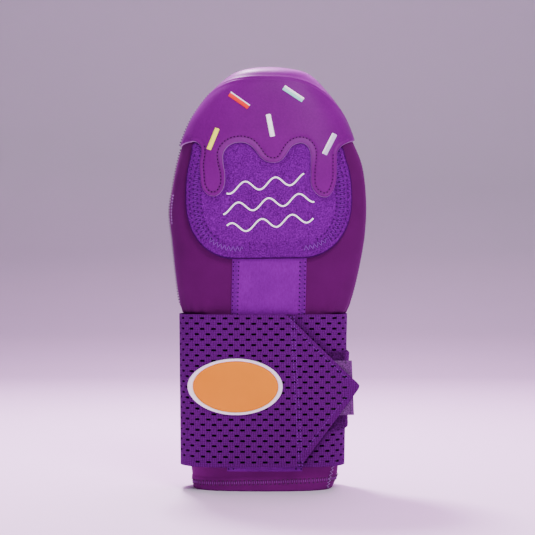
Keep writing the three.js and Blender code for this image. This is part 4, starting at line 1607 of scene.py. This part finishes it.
def build_loop_pad():
    """The worn loop pad with its rounded corners."""
    _, colours = settings()
    first, last, low, high = LOOP_PAD
    turn, share = np.meshgrid(np.linspace(first, last, 90), np.linspace(-1, 1, 70))
    around = (turn - first) * PAD_RADIUS
    beside = np.minimum(around, around.max() - around)
    taken = PAD_CORNER - np.sqrt(np.clip(PAD_CORNER**2 - np.maximum(PAD_CORNER - beside, 0) ** 2, 0, None))
    half = (high - low) / 2 - taken
    height = (low + high) / 2 + share * half
    edge = np.minimum(beside, half * (1 - np.abs(share)))
    rolled = rounded(edge, PAD_ROLL)
    middle = strap_ring(turn, height, np.full(turn.shape, 1.7))
    fuzz = (0.22 * cloudy(middle, 1.6, 7) + 0.3 * cloudy(middle, 6.0, 8)) * rolled
    top = strap_ring(turn, height, 1.8 + 1.15 * rolled + fuzz)
    pile = shared(plush_pile, "worn_loop_pile", colours.pad, fleck=1.0, sheen=0.3)
    piece = make_piece("loop_patch", *grid_shell(top, middle), pile, ["loop_pad"], sharp=80)


# The badge and the waves


# The badge's middle, and half its width and height
BADGE = (-18.9, 64.1, 28.0, 17.0)
BADGE_FOOT = STRAP_THICK + 0.15

# Sections of the two mouldings from the middle outwards: share of the half width, and height
DOME_SECTION = (
    (0.0, 1.15), (0.2, 1.13), (0.4, 1.08), (0.6, 0.98), (0.76, 0.85), (0.86, 0.75), (0.895, 0.6),
    (0.905, 0.0),
)
LIP_SECTION = (
    (0.905, 0.0), (0.912, 0.95), (0.93, 1.35), (0.955, 1.5), (0.98, 1.35), (0.995, 0.95), (1.0, 0.0),
)


def build_badge():
    """A plain oval moulding: a raised white rim round a domed orange face."""
    _, colours = settings()
    x, z, wide, tall = BADGE
    angles = np.linspace(0, 2 * np.pi, 160, endpoint=False)
    for name, tint, slot, section, node in (
        ("badge_dome", colours.orange, "badge_orange", DOME_SECTION, "badge_face"),
        ("badge_lip", colours.white, "badge_white", LIP_SECTION, "badge_rim"),
    ):
        shares, heights = np.array(section)[::-1].T
        angle, share = np.meshgrid(angles, shares)
        flat = np.stack([x + share * wide * np.cos(angle), z + share * tall * np.sin(angle)], axis=-1)
        laid = along_from_front(flat)
        top = on_strap(laid, BADGE_FOOT + heights[:, None])
        points, faces = ring_shell(top, on_strap(laid, BADGE_FOOT - 0.1))
        piece = make_piece(name, points, faces, moulded_rubber("rubber_" + slot, tint), [node], sharp=60)


def along_from_front(flat):
    """Places on the front view as places on the strap laid flat."""
    low = RING_TURNS > np.pi
    across = RING_MIDDLE[low][:, 0]
    along = RING_LENGTHS[low] - RING_LENGTH
    over = np.interp(flat[..., 0], across, along) + np.maximum(flat[..., 0], 0)
    return np.stack([over, flat[..., 1]], axis=-1)


# Height, and where it starts and ends across
WAVE_ROWS = ((186.0, -24.0, 21.5), (174.2, -26.0, 27.5), (162.4, -24.0, 27.0))
WAVE_PROUD, WAVE_TALL, WAVE_LONG, WAVE_CLIMB = 0.3, 3.0, 18, 0.14


def build_waves():
    """Three plain waves in white satin stitch across the patch."""
    sizes, _ = settings()
    paths = []
    for number, (height, first, last) in enumerate(WAVE_ROWS):
        x = np.linspace(first, last, 200)
        z = height + WAVE_TALL * np.sin((x + 4 * number) * 2 * np.pi / WAVE_LONG) + WAVE_CLIMB * x
        flat = even(np.stack([x, z], axis=1), 0.8)
        paths.append(surface_path(flat, patch_top(flat)[0] + WAVE_PROUD))
    piece = sew_stitches("satin_waves", paths, (sizes.satin_pitch, 0.5, 1.1, 0.95), satin_thread("white"))


# Side seams and the cuff's stitching


# Heights between which the body's seams, the cap's seam and the repair are sewn
BODY_SEWN, CAP_SEWN, REPAIRED = (110, 209), (211, 243), (163, 180)


def seam_path(turn, low, high, outward):
    """A path up one side seam, facing out."""
    heights = np.arange(low, high, 0.8)
    level = level_at(heights)
    point, facing = body_surface(np.full(len(level), turn), level)
    return point + facing * outward, facing


def build_seams():
    """Whip stitches up both side seams, and a paler repair at the left one."""
    pitch = settings()[0].whip_pitch
    dark = sewing_thread("seam_thread")
    whip = (pitch, 0.9, 3.6, 1.3)
    body_rows = [seam_path(np.pi, *BODY_SEWN, 0.5), seam_path(0, *BODY_SEWN, -0.2)]
    piece = sew_stitches("side_seam_whips", body_rows, whip, dark)
    piece = sew_stitches("cap_seam_whips", [seam_path(np.pi, *CAP_SEWN, 2.0)], whip, dark)
    repair = [seam_path(np.pi + 0.3, *REPAIRED, 0.1)]
    pale = sewing_thread("pale_seam_thread")
    piece = sew_stitches("side_seam_repair", repair, (pitch, 0.9, 2.2, 0.7), pale)


def hem_row(rise, outward):
    """A path round the cuff that runs beside the hem's stitching."""
    turns = np.radians(np.arange(-172, 180, 1.0))
    across = section_point(read_rows(BODY, np.full(len(turns), 0.5)), turns)[:, 0]
    point, facing = body_surface(turns, level_at(hem_height(across) + rise))
    return point + facing * outward, facing


def build_hem():
    """The hem's cover stitch and the slanting zigzag where the cuff is joined."""
    dark = sewing_thread("seam_thread")
    for name, rise in (("upper", 1.3), ("lower", -1.2)):
        piece = sew_stitches(f"hem_stitches_{name}", [hem_row(rise, 0.75)], (2.6, 1.1, 0.6, 0.5), dark)
    cover = [hem_row(0, 0.5)]
    piece = sew_stitches("hem_cover_stitches", cover, (1.35, 0.5, 1.9, 0.5), sewing_thread("hem_thread"))
    join = [surface_path(((39.5, 14.6), (36.3, 1.2)), 0.5)]
    piece = sew_zigzag("cuff_join_zigzag", join, (1.1, 2.4, 0.42, 0.15), sewing_thread("pale_seam_thread"))


# The studio


# The sweep's profile in metres: away from the camera, and up
SWEEP = ((-3.0, 0.0), (0.9, 0.0), (1.2, 0.04), (1.45, 0.16), (1.6, 0.4), (1.65, 0.8), (1.65, 3.0))
SWEEP_HALF = 4

# Lights: place and size in metres, power against the key light's setting, and colour
LIGHTS = (
    ("key_light", (0.34, -0.85, 1.0), 0.4, 1.46, (1, 0.92, 1)),
    ("fill_light", (0.05, -1.2, 0.1), 0.8, 0.45, (1, 0.92, 1)),
    ("top_light", (-0.11, 0.3, 0.75), 0.12, 1.6, (1, 0.75, 1)),
    ("rim_light", (0.05, 0.33, 0.85), 0.9, 1.9, (1, 0.3, 1)),
)
AIM = Vector((0, 0, 0.13))
ROOM_COLOUR, ROOM_POWER = (0.93, 0.86, 1.0, 1), 0.22
SENSOR_WIDE = 36


def build_sweep():
    """The pale floor that curves up behind the mitt."""
    material, tree, shader = start_material("painted_sweep", Roughness=0.85, Specular_IOR_Level=0.2)
    # Roller marks 40 mm across in matt studio paint
    mottled(tree, shader, settings()[1].floor, grain(tree, object_place(tree), 40, 3), 0.985, 1.01)
    points = [(x, y, z) for y, z in SWEEP for x in (-SWEEP_HALF, SWEEP_HALF)]
    faces = [(2 * k, 2 * k + 1, 2 * k + 3, 2 * k + 2) for k in range(len(SWEEP) - 1)]
    mesh = bpy.data.meshes.new("studio_sweep")
    mesh.from_pydata(points, [], faces)
    mesh.shade_smooth()
    mesh.materials.append(material)
    sweep = place_object("studio_sweep", mesh)


def build_stage():
    """The sweep, the lights, the soft room and the camera."""
    scene = bpy.context.scene
    stage = scene.mitt_stage
    build_sweep()
    for name, place, size, watts, tint in LIGHTS:
        light = bpy.data.lights.new(name, "AREA")
        light.size = size
        light.energy = watts * stage.key_watts
        light.color = tint
        lamp = place_object(name, light)
        lamp.location = place
        lamp.rotation_euler = (AIM - Vector(place)).to_track_quat("-Z", "Y").to_euler()

    world = bpy.data.worlds.new("soft_room")
    world.use_nodes = True
    background = world.node_tree.nodes["Background"]
    background.inputs["Color"].default_value = ROOM_COLOUR
    background.inputs["Strength"].default_value = ROOM_POWER
    scene.world = world

    middle = shift()
    lens = bpy.data.cameras.new("portrait_lens")
    lens.sensor_width = SENSOR_WIDE
    lens.lens = SENSOR_WIDE * stage.camera_far / stage.view_wide
    camera = place_object("portrait_lens", lens)
    camera.location = (middle[0] * MM, (middle[1] - stage.camera_far) * MM, stage.camera_high * MM)
    camera.rotation_euler = (np.pi / 2, 0, 0)
    scene.camera = camera


# Operators and the panel


class MITT_OT_stage(bpy.types.Operator):
    """Make the sweep, the lights and the camera"""

    bl_idname = "mitt.stage"
    bl_label = "Studio"

    def execute(self, context):
        build_stage()
        return {"FINISHED"}


class MITT_OT_body(bpy.types.Operator):
    """Make the two padded halves and the cuff"""

    bl_idname = "mitt.body"
    bl_label = "Body"

    def execute(self, context):
        build_body()
        build_cuff()
        return {"FINISHED"}


class MITT_OT_cap(bpy.types.Operator):
    """Make the dripping fingertip cap and its stitches"""

    bl_idname = "mitt.cap"
    bl_label = "Cap"

    def execute(self, context):
        build_cap()
        return {"FINISHED"}


class MITT_OT_sprinkles(bpy.types.Operator):
    """Stitch the five sprinkles on the cap"""

    bl_idname = "mitt.sprinkles"
    bl_label = "Sprinkles"

    def execute(self, context):
        build_sprinkles()
        return {"FINISHED"}


class MITT_OT_patch(bpy.types.Operator):
    """Make the plush patch and its zigzag"""

    bl_idname = "mitt.patch"
    bl_label = "Patch"

    def execute(self, context):
        build_patch()
        return {"FINISHED"}


class MITT_OT_strip(bpy.types.Operator):
    """Make the centre strip and its zigzag"""

    bl_idname = "mitt.strip"
    bl_label = "Strip"

    def execute(self, context):
        build_strip()
        return {"FINISHED"}


class MITT_OT_strap(bpy.types.Operator):
    """Make the perforated strap and its pointed end"""

    bl_idname = "mitt.strap"
    bl_label = "Strap"

    def execute(self, context):
        build_strap()
        return {"FINISHED"}


class MITT_OT_closure(bpy.types.Operator):
    """Make the hook tape and the loop pad"""

    bl_idname = "mitt.closure"
    bl_label = "Closure"

    def execute(self, context):
        build_hook_tape()
        build_loop_pad()
        return {"FINISHED"}


class MITT_OT_badge(bpy.types.Operator):
    """Make the oval rubber badge"""

    bl_idname = "mitt.badge"
    bl_label = "Badge"

    def execute(self, context):
        build_badge()
        return {"FINISHED"}


class MITT_OT_waves(bpy.types.Operator):
    """Stitch the waves on the patch"""

    bl_idname = "mitt.waves"
    bl_label = "Waves"

    def execute(self, context):
        build_waves()
        return {"FINISHED"}


class MITT_OT_seams(bpy.types.Operator):
    """Sew the side seams and the hem"""

    bl_idname = "mitt.seams"
    bl_label = "Seams"

    def execute(self, context):
        build_seams()
        build_hem()
        return {"FINISHED"}


# The order in which the pieces are made
OPERATORS = [
    MITT_OT_stage,
    MITT_OT_body,
    MITT_OT_cap,
    MITT_OT_sprinkles,
    MITT_OT_patch,
    MITT_OT_strip,
    MITT_OT_strap,
    MITT_OT_closure,
    MITT_OT_badge,
    MITT_OT_waves,
    MITT_OT_seams,
]


class MITT_PT_panel(bpy.types.Panel):
    """Lists the mitt's sizes, colours and pieces."""

    bl_label = "Sliding mitt"
    bl_space_type = "VIEW_3D"
    bl_region_type = "UI"
    bl_category = "Mitt"

    def draw(self, context):
        for group in (context.scene.mitt_sizes, context.scene.mitt_colours, context.scene.mitt_stage):
            box = self.layout.box()
            for key in group.bl_rna.properties.keys():
                if key not in ("rna_type", "name"):
                    box.prop(group, key)
        for made in OPERATORS:
            self.layout.operator(made.bl_idname)


CLASSES = [MittSizes, MittColours, MittStage, *OPERATORS, MITT_PT_panel]


def register():
    """Registers the classes and hangs the settings on the scene."""
    for made in CLASSES:
        bpy.utils.register_class(made)
    bpy.types.Scene.mitt_sizes = PointerProperty(type=MittSizes)
    bpy.types.Scene.mitt_colours = PointerProperty(type=MittColours)
    bpy.types.Scene.mitt_stage = PointerProperty(type=MittStage)


def unregister():
    """Takes the settings and the classes away again."""
    for key in ("mitt_sizes", "mitt_colours", "mitt_stage"):
        delattr(bpy.types.Scene, key)
    for made in reversed(CLASSES):
        bpy.utils.unregister_class(made)


def main():
    """Makes every piece in order."""
    register()
    for made in OPERATORS:
        group, name = made.bl_idname.split(".")
        getattr(getattr(bpy.ops, group), name)()


if __name__ == "__main__":
    main()
